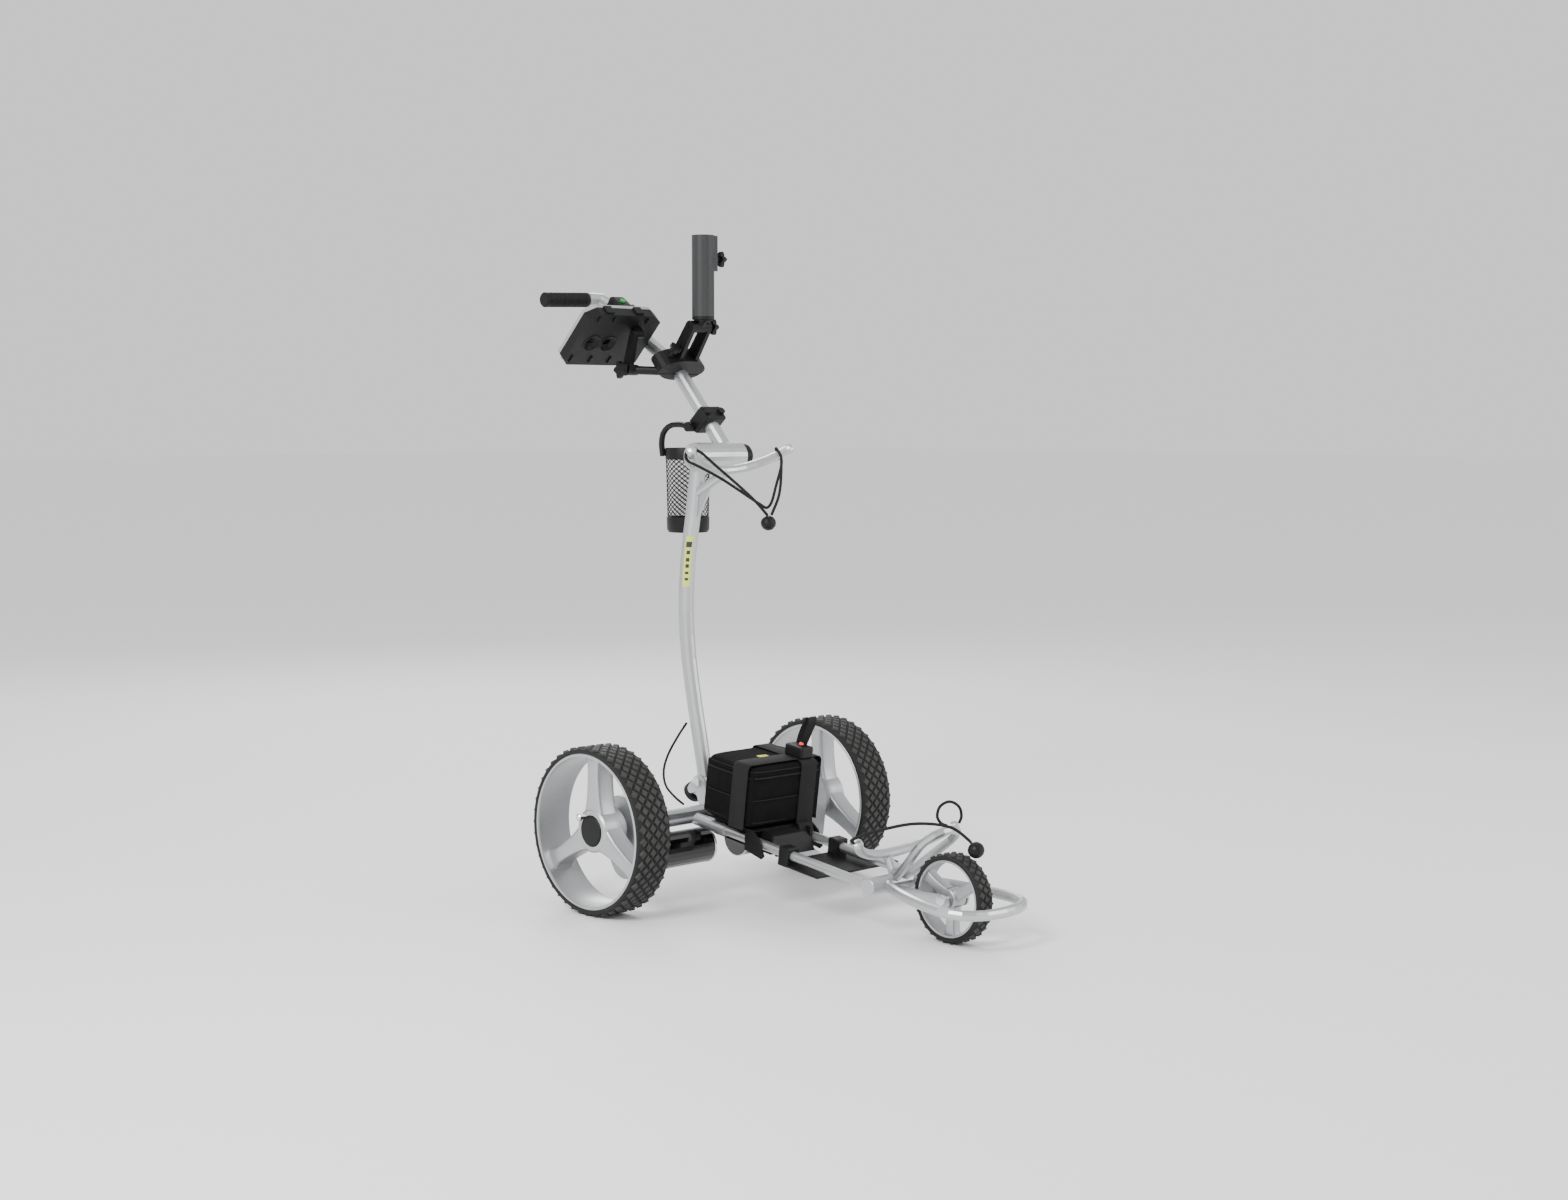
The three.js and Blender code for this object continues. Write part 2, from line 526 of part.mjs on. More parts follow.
function handle() {
  const shaft = tube(HANDLE_POINTS, HANDLE_R, 17, 14);
  const barrel = disc(HOUSING_R, HOUSING_SPLIT + GAP, HOUSING_FAR, 20).translate(HOUSING.x, 0, HOUSING.z);
  const core = rod(vec(-404, 46, 1074), vec(-404, -GRIP_HALF + 6, 1070.5), GRIP_CORE_R, 14);
  const bore = disc(HANDLE_BOLT_R + GAP, HOUSING_SPLIT - 1, HOUSING_FAR + 1, 12).translate(HOUSING.x, 0,
      HOUSING.z);
  const slice = block(-100, 20, -20, HOUSING_SPLIT + GAP, 740, 830);
  add("handle_tube", cut(join(shaft, barrel, core), bore, slice), SILVER());

  const gripFrom = vec(-404, 36, 1073.5);
  const gripTo = vec(-404, -GRIP_HALF, 1070.4);
  const length = gripFrom.distanceTo(gripTo);
  const profile = [[GRIP_CORE_R + GAP, 0], [GRIP_R, 0], [GRIP_R, length - 3], [GRIP_R - 3, length],
      [0, length],
    [0, length - 4], [GRIP_CORE_R + GAP, length - 4], [GRIP_CORE_R + GAP, 0]];
  add("handle_grip", aim(turned(profile, 14), gripFrom, gripTo.clone().sub(gripFrom)), RUBBER());

  const bolt = aim(hexBolt(11, 7, HANDLE_BOLT_R, HOUSING_FAR + 13 - BOLT_SEAT),
      vec(HOUSING.x, BOLT_SEAT, HOUSING.z), UP_Y);
  add("hinge_bolt", bolt, STEEL());
  const knob = cut(
    turned([[0, GAP], [19, GAP], [22, 4], [22, 15], [18, 20], [0, 22]], 20),
    disc(HANDLE_BOLT_R + GAP, -1, 14 + GAP, 12),
  );
  add("hinge_knob", aim(knob, vec(HOUSING.x, HOUSING_FAR, HOUSING.z), UP_Y), BLACK());
}

const DIAL_Z = 24.6;

// Control pod on top of the handle near the grip, with a speed dial and an on-off button.
function controls() {
  const from = vec(-300, 70, 1015.6);
  const to = vec(-368, 70, 1061.4);
  const pod = group((from.x + to.x) / 2, HANDLE_Y, (from.z + to.z) / 2);
  const length = from.distanceTo(to);
  pod.rotation.y = Math.atan2(to.z - from.z, from.x - to.x);
  const shell = new RoundedBoxGeometry(length, 34, 30, 1, 5).translate(0, 0, 9);
  const tubeRoom = rod(vec(-70, 0, 0), vec(70, 0, 0), HANDLE_R + 1.2, 16);
  const dialSlot = aim(disc(9 + 2 * GAP, -6, 6, 16), vec(8, 0, DIAL_Z), UP_Y);
  const buttonHole = disc(5.5 + GAP, 0, 30, 16).rotateX(Math.PI / 2).translate(-20, 0, 15);
  add("control_pod", cut(shell, tubeRoom, block(-70, 70, -30, 30, -20, -3), dialSlot, buttonHole), BLACK(),
      pod);
  add("speed_dial", aim(disc(9, -5, 5, 16), vec(8, 0, DIAL_Z), UP_Y), GREY(), pod);
  add("power_button", disc(5.5, 0, 8.5, 16).rotateX(Math.PI / 2).translate(-20, 0, 18.6),
      material(0x2f7a35, 0.5, 0), pod);
}

// ---------- clamps on the handle tube ----------
const handleRoom = () => tube(HANDLE_POINTS, HANDLE_R + GAP, 17, 14);

// Places a piece on the handle tube: local +Z runs up the tube, +X stands off its front, +Y stays left.
function onTube(geometry, distance) {
  const at = onHandle(distance);
  return geometry.rotateY(Math.atan2(tubeDir.x, tubeDir.z)).translate(at.x, at.y, at.z);
}

const CLAMP_T = 183; // accessory clamp, along the tube
const CLAMP_SPLIT = 0.8;
const CLAMP_SCREW_R = 3;
const UMBRELLA_PIVOT = { x: -122, z: 1016 };
const EAR_T = 8;
const FOOT_HALF = 15;
const ARM_PIVOT = { x: -232, z: 938 };
const LINK_PIVOT = { x: -213, z: 1003 };
const LINK_Y0 = -12.6;
const LINK_Y1 = -2.6;
const PIN_R = 3;

function accessoryClamp() {
  const oval = new THREE.Shape().absellipse(9, -2, 26, 54, 0, 2 * Math.PI);
  const body = () =>
    new THREE.ExtrudeGeometry(oval, { depth: 34, bevelEnabled: false, curveSegments: 12 }).translate(0, 0,
        -17);
  const screwHole = onTube(rod(vec(-30, -36, 0), vec(60, -36, 0), CLAMP_SCREW_R + GAP, 12), CLAMP_T);

  const ears = [1, -1].map((sign) => {
    const ear = eggShape({ u: -158, v: 966, r: 13 }, { u: UMBRELLA_PIVOT.x, v: UMBRELLA_PIVOT.z, r: 11 });
    const y0 = HANDLE_Y + (sign > 0 ? FOOT_HALF + GAP : -FOOT_HALF - GAP - EAR_T);
    return plate(ear, y0, y0 + EAR_T);
  });
  const pivotHole = disc(PIN_R + GAP, 30, 110, 14).translate(UMBRELLA_PIVOT.x, 0, UMBRELLA_PIVOT.z);
  const frontHalf = onTube(cut(body(), block(-60, CLAMP_SPLIT, -80, 80, -40, 40)), CLAMP_T);
  add("clamp_front_half", cut(join(frontHalf, ...ears), handleRoom(), pivotHole, screwHole), BLACK());

  const arm = rod(vec(-188, 34, 936), vec(ARM_PIVOT.x, 6, ARM_PIVOT.z), 8, 14);
  const barrel = disc(10, LINK_Y1 + GAP, 14, 18).translate(ARM_PIVOT.x, 0, ARM_PIVOT.z);
  const armHole = disc(PIN_R + GAP, -20, 10, 14).translate(ARM_PIVOT.x, 0, ARM_PIVOT.z);
  const rearHalf = onTube(cut(body(), block(-CLAMP_SPLIT, 60, -80, 80, -40, 40)), CLAMP_T);
  add("clamp_rear_half", cut(join(rearHalf, arm, barrel), handleRoom(), armHole, screwHole), BLACK());

  const knob = starKnob(12, 6, 12, 9);
  const stud = disc(CLAMP_SCREW_R, -46, 1, 12);
  add("clamp_knob", onTube(aim(join(knob, stud), vec(34, -36, 0), vec(1, 0, 0)), CLAMP_T), BLACK());
}

// ---------- score console on its link ----------
function scoreConsole() {
  const bar = eggShape({ u: ARM_PIVOT.x, v: ARM_PIVOT.z, r: 10 }, { u: LINK_PIVOT.x, v: LINK_PIVOT.z, r: 7 });
  const hole = (at) => disc(PIN_R + GAP, -60, 60, 14).translate(at.x, 0, at.z);
  const link = plate(bar, LINK_Y0, LINK_Y1);
  const pin = disc(PIN_R, -1, 12, 14).translate(LINK_PIVOT.x, 0, LINK_PIVOT.z);
  add("console_link", cut(join(link, pin.translate(0, LINK_Y1, 0)), hole(ARM_PIVOT)), BLACK());

  const knob = join(starKnob(17, 7, 6, 9), disc(PIN_R, -20, 1, 12));
  add("console_knob", aim(knob, vec(ARM_PIVOT.x, LINK_Y0 - GAP, ARM_PIVOT.z), vec(0, -1, 0)), BLACK());

  // The tray tilts back towards the player; its lid closes on the upper face.
  const tray = group(CONSOLE.x, CONSOLE.y, CONSOLE.z);
  const tilt = THREE.MathUtils.degToRad(CONSOLE.tilt);
  tray.rotation.y = -tilt;
  const halfW = CONSOLE.width / 2;
  const halfD = CONSOLE.depth / 2;
  const outline = polygon([[-halfD + 10, -halfW], [halfD - 14, -halfW], [halfD, -halfW + 22],
      [halfD, halfW - 22],
    [halfD - 14, halfW], [-halfD + 10, halfW], [-halfD, halfW - 10], [-halfD, -halfW + 10]]);
  const slab = (thick, z0) =>
    new THREE.ExtrudeGeometry(outline, { depth: thick, bevelEnabled: false }).translate(0, 0, z0);
  const inLink = vec(LINK_PIVOT.x - CONSOLE.x, 0, LINK_PIVOT.z - CONSOLE.z).applyAxisAngle(UP_Y, tilt);
  const lugY = LINK_Y1 + GAP - CONSOLE.y;
  const bottom = -CONSOLE.thick / 2;
  const lug = join(
    disc(7, lugY, lugY + 14, 16).translate(inLink.x, 0, inLink.z),
    block(inLink.x - 7, inLink.x + 7, lugY, lugY + 14, inLink.z, bottom + EMBED),
  );
  const lugHole = disc(PIN_R + GAP, lugY - 1, lugY + 15, 14).translate(inLink.x, 0, inLink.z);
  const well = block(-halfD + 12, halfD - 16, -halfW + 12, halfW - 12, bottom + 6, 30);
  const holders = [-46, -8].map((y) => new THREE.SphereGeometry(21, 14, 8).translate(-8, y, bottom - 13));
  const base = cut(join(slab(CONSOLE.thick, bottom), lug), lugHole, well, ...holders);
  add("console_tray", base, BLACK(), tray);
  const lidBottom = -bottom + GAP;
  const hinge = disc(3, -halfW + 14, halfW - 14, 12).translate(-halfD - 3.4, 0, lidBottom + 3);
  const lid = join(slab(CONSOLE.lid, lidBottom), hinge,
      block(-halfD - 3.4, -halfD + 4, -halfW + 14, halfW - 14, lidBottom + 2, lidBottom + 5));
  const window = block(-halfD + 20, halfD - 24, -halfW + 20, halfW - 20, lidBottom - 1,
      lidBottom + CONSOLE.lid - 2);
  add("console_lid", cut(lid, window), GREY(), tray);
}

// ---------- umbrella holder ----------
function umbrellaHolder() {
  const mast = group(UMBRELLA.x, HANDLE_Y, 0);
  const inPivot = UMBRELLA_PIVOT.x - UMBRELLA.x;
  const foot = join(
    disc(11, -FOOT_HALF, FOOT_HALF, 16).translate(inPivot, 0, UMBRELLA_PIVOT.z),
    rod(vec(inPivot, 0, UMBRELLA_PIVOT.z), vec(0, 0, UMBRELLA.z0 - 3), 10, 12),
    rod(vec(0, 0, UMBRELLA.z0 - 5.5), vec(0, 0, UMBRELLA.z0 - GAP), UMBRELLA.outer, 18),
    rod(vec(0, 0, UMBRELLA.z0 - 8), vec(0, 0, UMBRELLA.z0 + 14), UMBRELLA.inner - GAP, 18),
  );
  const pivotHole = disc(PIN_R + GAP, -30, 30, 14).translate(inPivot, 0, UMBRELLA_PIVOT.z);
  add("umbrella_foot", cut(foot, pivotHole), BLACK(), mast);
  const outer = rod(vec(0, 0, UMBRELLA.z0), vec(0, 0, UMBRELLA.z1), UMBRELLA.outer, 18);
  const inner = rod(vec(0, 0, UMBRELLA.z0 - 1), vec(0, 0, UMBRELLA.z1 + 1), UMBRELLA.inner, 18);
  const boss = block(-8, 8, UMBRELLA.inner + 1, UMBRELLA.outer + 8.5, UMBRELLA.z1 - 64, UMBRELLA.z1);
  const knobZ = UMBRELLA.z1 - 42;
  const screwHole = disc(PIN_R + GAP, 5, 40, 14).translate(0, 0, knobZ);
  add("umbrella_tube", cut(join(outer, boss), inner, screwHole), GREY(), mast);
  const knob = join(starKnob(15, 6, 8, 9), disc(PIN_R, -UMBRELLA.outer - 8.5 + 14, 1, 12));
  add("umbrella_knob", aim(knob, vec(0, UMBRELLA.outer + 8.5 + GAP, knobZ), UP_Y), BLACK(), mast);
  const tiltKnob = join(starKnob(15, 7, 5, 9), disc(PIN_R, -2 * FOOT_HALF - 2 * EAR_T, 1, 12));
  const side = FOOT_HALF + EAR_T + 2 * GAP;
  add("umbrella_tilt_knob", aim(tiltKnob, vec(inPivot, side, UMBRELLA_PIVOT.z), UP_Y), BLACK(), mast);
}

// ---------- cup holder ----------
const CUP_CLAMP_T = 54;
const CUP_PIVOT = { x: -113, z: 834 };
const CUP_ARM = [[-113, 37.5, 834], [-136, 36, 838], [-160, 33, 836], [-178, 32, 822], [-184, 33, 802],
    [-184, 36, 780]];

function cupHolder() {
  const bosses = [-17, 17].map((y) => rod(vec(0, y, 0), vec(27, y, 0), 7, 12));
  const clamp = onTube(join(new RoundedBoxGeometry(44, 50, 30, 1, 4), ...bosses), CUP_CLAMP_T);
  const lug = disc(9, 44, 56, 18).translate(CUP_PIVOT.x, 0, CUP_PIVOT.z);
  const hole = disc(PIN_R + GAP, 30, 57, 14).translate(CUP_PIVOT.x, 0, CUP_PIVOT.z);
  add("cup_clamp", cut(join(clamp, lug), handleRoom(), hole), BLACK());

  const eye = disc(9, 32, 44 - GAP, 18).translate(CUP_PIVOT.x, 0, CUP_PIVOT.z);
  const pin = disc(PIN_R, 40, 54, 12).translate(CUP_PIVOT.x, 0, CUP_PIVOT.z);
  const arm = join(eye, tube(CUP_ARM.map((p) => vec(...p)), 5.5, 11, 8), pin);
  add("cup_arm", cut(arm, cupSolid(CUP.outer + GAP, 0)), BLACK());
  add("cup", cut(cupSolid(CUP.outer, 0), cupSolid(CUP.outer - CUP.wall, CUP.wall + 1.5)), BLACK());
}

// The cup's outside, or its well when raised off the floor of the cup and run through its mouth.
function cupSolid(radius, raise) {
  const top = raise ? CUP.z1 + 5 : CUP.z1;
  const low = CUP.z0 + raise;
  const taper = 3;
  const profile = [[0, low], [radius - taper - 4, low], [radius - taper, low + 4], [radius, top], [0, top]];
  return turned(profile, 24).rotateX(Math.PI / 2).translate(CUP.x, HANDLE_Y, 0);
}

// ---------- battery ----------
const TRAY_TOP = -0.5; // below the bag's floor
const RIB_Y = 44.5;
const CHEEK_Y = 69.5;

function battery() {
  // The bag sits parallel to the sloping rails.
  const pack = group(BAG.x, 0, BAG.z);
  pack.rotation.y = Math.atan(RAIL_SLOPE);
  const halfL = BAG.length / 2;
  const halfW = BAG.width / 2;
  const seam = BAG.height - BAG.lid;
  const full = () => new RoundedBoxGeometry(BAG.length, BAG.width, BAG.height, 2, 9).translate(0, 0,
      BAG.height / 2);
  const inside = (wall, z0, z1) => block(-halfL + wall, halfL - wall, -halfW + wall, halfW - wall, z0, z1);
  add("battery_bag", cut(full(), inside(-9, seam, 200), inside(BAG.cloth, BAG.cloth, 200)), CLOTH(), pack);
  const lidInside = inside(BAG.cloth, 0, BAG.height - BAG.cloth);
  add("battery_bag_lid", cut(full(), inside(-9, -9, seam + GAP), lidInside), CLOTH(), pack);
  const spare = BAG.cloth + 1;
  add("battery", new RoundedBoxGeometry(2 * halfL - 2 * spare, 2 * halfW - 2 * spare, 95, 1, 3).translate(0,
      0, 52), GREY(), pack);

  // One webbing loop runs over the bag and down both faces to the tray, and the other crosses it.
  const loopOver = (half, y0, y1, top, low) =>
    cut(block(-half - STRAP_T, half + STRAP_T, y0, y1, low, top + STRAP_T),
        block(-half, half, y0 - 1, y1 + 1, low - 1, top));
  const along = loopOver(halfL + GAP, 28, 28 + STRAP_W, BAG.height + GAP, TRAY_TOP - 3);
  const across = loopOver(halfW + GAP, 0, STRAP_W, BAG.height + GAP,
      TRAY_TOP - 3).rotateZ(-Math.PI / 2).translate(14, 0, 0);
  add("battery_strap", join(along, across), WEBBING(), pack);

  const socket = join(
    new RoundedBoxGeometry(44, 30, 22, 1, 4).translate(36, 46, BAG.height + STRAP_T + 2 * GAP + 11),
    disc(3.5, 0, 3, 14).rotateX(Math.PI / 2).translate(44, 42, BAG.height + 24),
  );
  add("battery_connector", socket, BLACK(), pack);

  // Tray under the bag: seat, two ribs between the rails, a floor below them and a sloping front.
  const tray = [block(-62, halfL - 2, -CHEEK_Y - 3, CHEEK_Y + 3, TRAY_TOP - 7, TRAY_TOP - 3.5)];
  const floorZ = -44;
  for (const [, sign] of SIDES) {
    const rib = [sign * RIB_Y, sign * (RIB_Y + 3.5)].sort((m, n) => m - n);
    tray.push(block(-62, 84, rib[0], rib[1], floorZ, TRAY_TOP - 6));
    const cheek = [sign * CHEEK_Y, sign * (CHEEK_Y + 3)].sort((m, n) => m - n);
    const outline = polygon([[40, TRAY_TOP - 5], [halfL - 2, TRAY_TOP - 5], [78, -16], [92, -42], [86, -48],
        [44, -42]]);
    tray.push(plate(outline, cheek[0], cheek[1]));
  }
  tray.push(block(-62, 84, -RIB_Y - 2, RIB_Y + 2, floorZ, floorZ + 3.5));
  tray.push(plate(polygon([[halfL - 3, TRAY_TOP - 7], [halfL, TRAY_TOP - 7], [78, -14], [98, floorZ],
      [94, floorZ], [76, -18]]),
    -RIB_Y - 2, RIB_Y + 2));
  add("battery_tray", join(...tray), BLACK(), pack);
}

// ---------- cross plate under the rails ----------
const PLATE_X = 246;

function crossPlate() {
  const carrier = group(PLATE_X, 0, railZ(PLATE_X));
  carrier.rotation.y = Math.atan(RAIL_SLOPE);
  const under = -RAIL_R - 6;
  const pieces = [block(-12, 84, -RAIL_Y - 12, RAIL_Y + 12, under - 4, under)];
  const rooms = [];
  for (const [, sign] of SIDES) {
    const y = sign * RAIL_Y;
    pieces.push(new RoundedBoxGeometry(24, 27, 34, 1, 3).translate(0, y, -3));
    rooms.push(rod(vec(-40, y, 0), vec(120, y, 0), RAIL_R + GAP, 14));
  }
  // The outboard step on the left is bent up from the plate.
  pieces.push(block(30, 84, RAIL_Y + 6, 128, under - 4, under));
  add("cross_plate", cut(join(...pieces), ...rooms), BLACK(), carrier);
}

// ---------- cords ----------
const CABLE_R = 2.2;
// Control cable from the upright to the axle beam.
const CABLE_ROUTE = [[-66, -13, 300], [-82, -22, 272], [-94, -34, 240], [-94, -44, 214], [-78, -54, 190],
    [-42, -62, 172],
  [-18, -64, 163]].map((p) => vec(...p));

function controlCable() {
  add("control_cable", tube(CABLE_ROUTE, CABLE_R, 20, 8), RUBBER());
}

// Each bungee is one elastic cord threaded through a ball and looped over the cradle ends.
const UPPER_BALL = vec(72, 60, 664);
const UPPER_BUNGEE = [[76, 64, 678.5], [79, 80, 715], [70, 94, 772], [66.5, 96, 782.5], [62, 95.5, 789],
    [54.5, 97, 795],
  [47, 102.5, 795], [43.5, 109, 789], [46.5, 112.5, 780.5], [50.5, 113.5, 773.5], [60, 90, 728],
      [67, 70, 697], [67, 60, 691],
  [64, 46, 698], [58, -40, 744], [59.5, -108, 771.5], [53, -111, 774.5], [46, -112.5, 781],
      [43.5, -109, 789.5],
  [47.5, -102, 795], [55, -97, 794.5], [62, -93.5, 791.5], [69, -70, 772], [76, 20, 707], [73, 56, 678.6]]
  .map((p) => vec(...p));
const LOWER_BALL = vec(609, 8, 157);
const LOWER_BUNGEE = [[466, -128.5, 167.5], [467, -134, 172], [480, -118, 181], [498, -92, 189],
    [534, -52, 198],
  [575, -14, 192], [596, 2, 174], [601, 5, 168.5]].map((p) => vec(...p));
const LOWER_LOOP = [[466, 128.5, 167.5], [468, 132, 178], [470, 124, 196], [466, 104, 207], [462, 84, 200],
    [462, 78, 184],
  [464, 86, 172], [466, 97, 167]].map((p) => vec(...p));

function bungees() {
  for (const [name, route, steps] of [["upper_bungee", UPPER_BUNGEE, 56], ["lower_bungee", LOWER_BUNGEE, 20],
    ["lower_bungee_loop", LOWER_LOOP, 16]]) {
    add(name, tube(route, BUNGEE_R, steps, 8), RUBBER());
    freeCords.add(name);
  }
  for (const [name, at] of [["upper_bungee_ball", UPPER_BALL], ["lower_bungee_ball", LOWER_BALL]]) {
    add(name, new THREE.SphereGeometry(BALL_R, 12, 8).translate(at.x, at.y, at.z), BLACK());
    freeCords.add(name);
  }
}

// ---------- assembly ----------
for (const [side, sign] of SIDES) {
  rearWheel(side, sign);
  driveUnit(side, sign);
}
axleBeam();
rails();
frontFrame();
lowerCradle();
frontWheel();
upright();
lowerPivot();
handle();
controls();
accessoryClamp();
scoreConsole();
umbrellaHolder();
cupHolder();
battery();
crossPlate();
controlCable();
bungees();

// The origin is on the ground under the middle of the rigid object's box.
trolley.updateMatrixWorld(true);
const extent = new THREE.Box3();
trolley.traverse((piece) => {
  if (piece.isMesh && !freeCords.has(piece.name)) {
    extent.expandByObject(piece, true);
  }
});
const middle = extent.getCenter(vec(0, 0, 0));
for (const piece of trolley.children) {
  piece.position.sub(vec(middle.x, middle.y, extent.min.z));
}

export default trolley;
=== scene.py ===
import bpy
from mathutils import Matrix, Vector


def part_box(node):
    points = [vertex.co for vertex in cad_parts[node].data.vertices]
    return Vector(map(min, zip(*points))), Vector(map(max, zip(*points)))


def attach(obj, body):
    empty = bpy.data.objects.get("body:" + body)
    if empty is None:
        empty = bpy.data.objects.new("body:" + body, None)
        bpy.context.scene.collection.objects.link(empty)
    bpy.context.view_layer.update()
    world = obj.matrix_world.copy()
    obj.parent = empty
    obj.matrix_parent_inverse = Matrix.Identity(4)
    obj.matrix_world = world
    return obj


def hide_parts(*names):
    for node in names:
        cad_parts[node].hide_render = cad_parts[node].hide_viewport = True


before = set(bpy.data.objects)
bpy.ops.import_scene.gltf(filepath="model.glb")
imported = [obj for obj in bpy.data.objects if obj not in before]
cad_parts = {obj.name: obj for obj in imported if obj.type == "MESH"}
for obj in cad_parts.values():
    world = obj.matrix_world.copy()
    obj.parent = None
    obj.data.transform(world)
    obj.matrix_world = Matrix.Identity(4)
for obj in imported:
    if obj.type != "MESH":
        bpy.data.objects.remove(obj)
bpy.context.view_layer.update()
import math
import bpy
import bmesh
from mathutils import Matrix, Vector, noise

# ---------- studio ----------
# A plain pale floor that runs out of sight under a white sky, lit by three round soft lights.
# The camera stands low at the front right of the trolley, about four metres away.


class Shade:
    """A shader value: adding two of them adds a Math node."""

    def __init__(self, tree, socket):
        self.tree = tree
        self.socket = socket

    def __add__(self, other):
        node = self.tree.nodes.new("ShaderNodeMath")
        node.operation = "ADD"
        for slot, value in zip(node.inputs, (self, other)):
            if isinstance(value, Shade):
                self.tree.links.new(value.socket, slot)
            else:
                slot.default_value = value
        return Shade(self.tree, node.outputs[0])

    __radd__ = __add__


class Finish:
    """One material: a Principled shader, with patterns that read object coordinates."""

    def __init__(self, name, color, roughness, metallic=0.0, **fixed):
        self.material = bpy.data.materials.new(name)
        self.material.use_nodes = True
        self.tree = self.material.node_tree
        self.shader = self.tree.nodes["Principled BSDF"]
        self.shader.inputs["Base Color"].default_value = (*color, 1)
        self.shader.inputs["Roughness"].default_value = roughness
        self.shader.inputs["Metallic"].default_value = metallic
        for key, value in fixed.items():
            self.shader.inputs[key.replace("_", " ")].default_value = value
        self.place = self.node("ShaderNodeTexCoord", {}, {}, "Object")

    def node(self, kind, settings, sockets, output=0):
        """One more node: its settings first, then the values or links of its sockets."""
        node = self.tree.nodes.new(kind)
        for name, value in settings.items():
            setattr(node, name, value)
        for name, value in sockets.items():
            if isinstance(value, Shade):
                self.tree.links.new(value.socket, node.inputs[name])
            else:
                node.inputs[name].default_value = value
        return Shade(self.tree, node.outputs[output])

    def noise(self, scale, detail=3.0):
        return self.node("ShaderNodeTexNoise", {}, {"Scale": scale, "Detail": detail, "Vector": self.place})

    def cells(self, scale):
        return self.node("ShaderNodeTexVoronoi", {}, {"Scale": scale, "Vector": self.place}, "Distance")

    def bands(self, scale, direction):
        settings = {"wave_type": "BANDS", "bands_direction": direction, "wave_profile": "SIN"}
        sockets = {"Scale": scale, "Distortion": 0, "Vector": self.place}
        return self.node("ShaderNodeTexWave", settings, sockets, "Fac")

    def between(self, shade, low, high):
        return self.node("ShaderNodeMapRange", {}, {"To Min": low, "To Max": high, "Value": shade})

    def feed(self, name, shade):
        self.tree.links.new(shade.socket, self.shader.inputs[name])
        return self

    def rough(self, shade, low, high):
        return self.feed("Roughness", self.between(shade, low, high))

    def tint(self, shade, dark, light):
        first, second, mixed = 6, 7, 2  # the Mix node's colour sockets
        sockets = {first: (*dark, 1), second: (*light, 1), 0: shade}
        return self.feed("Base Color", self.node("ShaderNodeMix", {"data_type": "RGBA"}, sockets, mixed))

    def bump(self, shade, depth, strength=0.6):
        sockets = {"Distance": depth, "Strength": strength, "Height": shade}
        return self.feed("Normal", self.node("ShaderNodeBump", {}, sockets))


floor_half = 40.0
floor_mesh = bpy.data.meshes.new("studio_floor")
corners = ((-1, -1), (1, -1), (1, 1), (-1, 1))
floor_mesh.from_pydata([(x * floor_half, y * floor_half, 0) for x, y in corners], [], [(0, 1, 2, 3)])
floor = bpy.data.objects.new("studio_floor", floor_mesh)
bpy.context.scene.collection.objects.link(floor)
pale = Finish("pale_floor", (0.95, 0.95, 0.95), 0.6)
pale.rough(pale.noise(6.0), 0.55, 0.7)
floor_mesh.materials.append(pale.material)

world = bpy.data.worlds.new("studio")
world.use_nodes = True
sky = world.node_tree.nodes["Background"]
sky.inputs["Color"].default_value = (1.0, 1.0, 1.0, 1)
sky.inputs["Strength"].default_value = 1.0
bpy.context.scene.world = world


def soft_light(name, place, target, size, watts):
    data = bpy.data.lights.new(name, "AREA")
    data.shape = "DISK"
    data.size = size
    data.energy = watts
    lamp = bpy.data.objects.new(name, data)
    lamp.location = place
    lamp.rotation_euler = (Vector(target) - Vector(place)).to_track_quat("-Z", "Y").to_euler()
    bpy.context.scene.collection.objects.link(lamp)


soft_light("key_light", (1.0, -3.6, 3.0), (0, 0, 0.5), 1.6, 190)
soft_light("fill_light", (3.4, 2.4, 2.0), (0, 0, 0.5), 2.4, 60)
soft_light("back_light", (-3.0, 1.6, 2.6), (0, 0, 0.6), 2.0, 60)

camera_data = bpy.data.cameras.new("front_right")
camera_data.lens = 52.253
camera_data.sensor_width = 36
camera_data.sensor_fit = "HORIZONTAL"
camera = bpy.data.objects.new("front_right", camera_data)
camera.matrix_world = Matrix((
    (0.69693, -0.05807, 0.71479, 2.8558),
    (0.71714, 0.05644, -0.69464, -2.7359),
    (0.0, 0.99672, 0.08098, 0.8551),
    (0.0, 0.0, 0.0, 1.0),
))
bpy.context.scene.collection.objects.link(camera)
bpy.context.scene.camera = camera

# ---------- elastic cords and their balls ----------
# Woven elastic cord 5 mm thick, hooked round the ends of both cradles and drawn through a black moulded ball.
# It holds the golf bag. Its routes are those of the rigid pieces, so it stays clear of the cradle tubes.
wheelbase = 0.5675
front_low, front_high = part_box("front_tyre")
axle_to_frame = (front_low[0] + front_high[0]) / 2 - wheelbase  # the rear axle's place along the trolley


def piece(name, mesh, material, body, *stands_for):
    """A finished mesh becomes a shown piece that rides on a body."""
    obj = bpy.data.objects.new(name, mesh)
    bpy.context.scene.collection.objects.link(obj)
    mesh.materials.clear()
    mesh.materials.append(material)
    if stands_for:
        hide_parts(*stands_for)
    if body:
        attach(obj, body)
    return obj


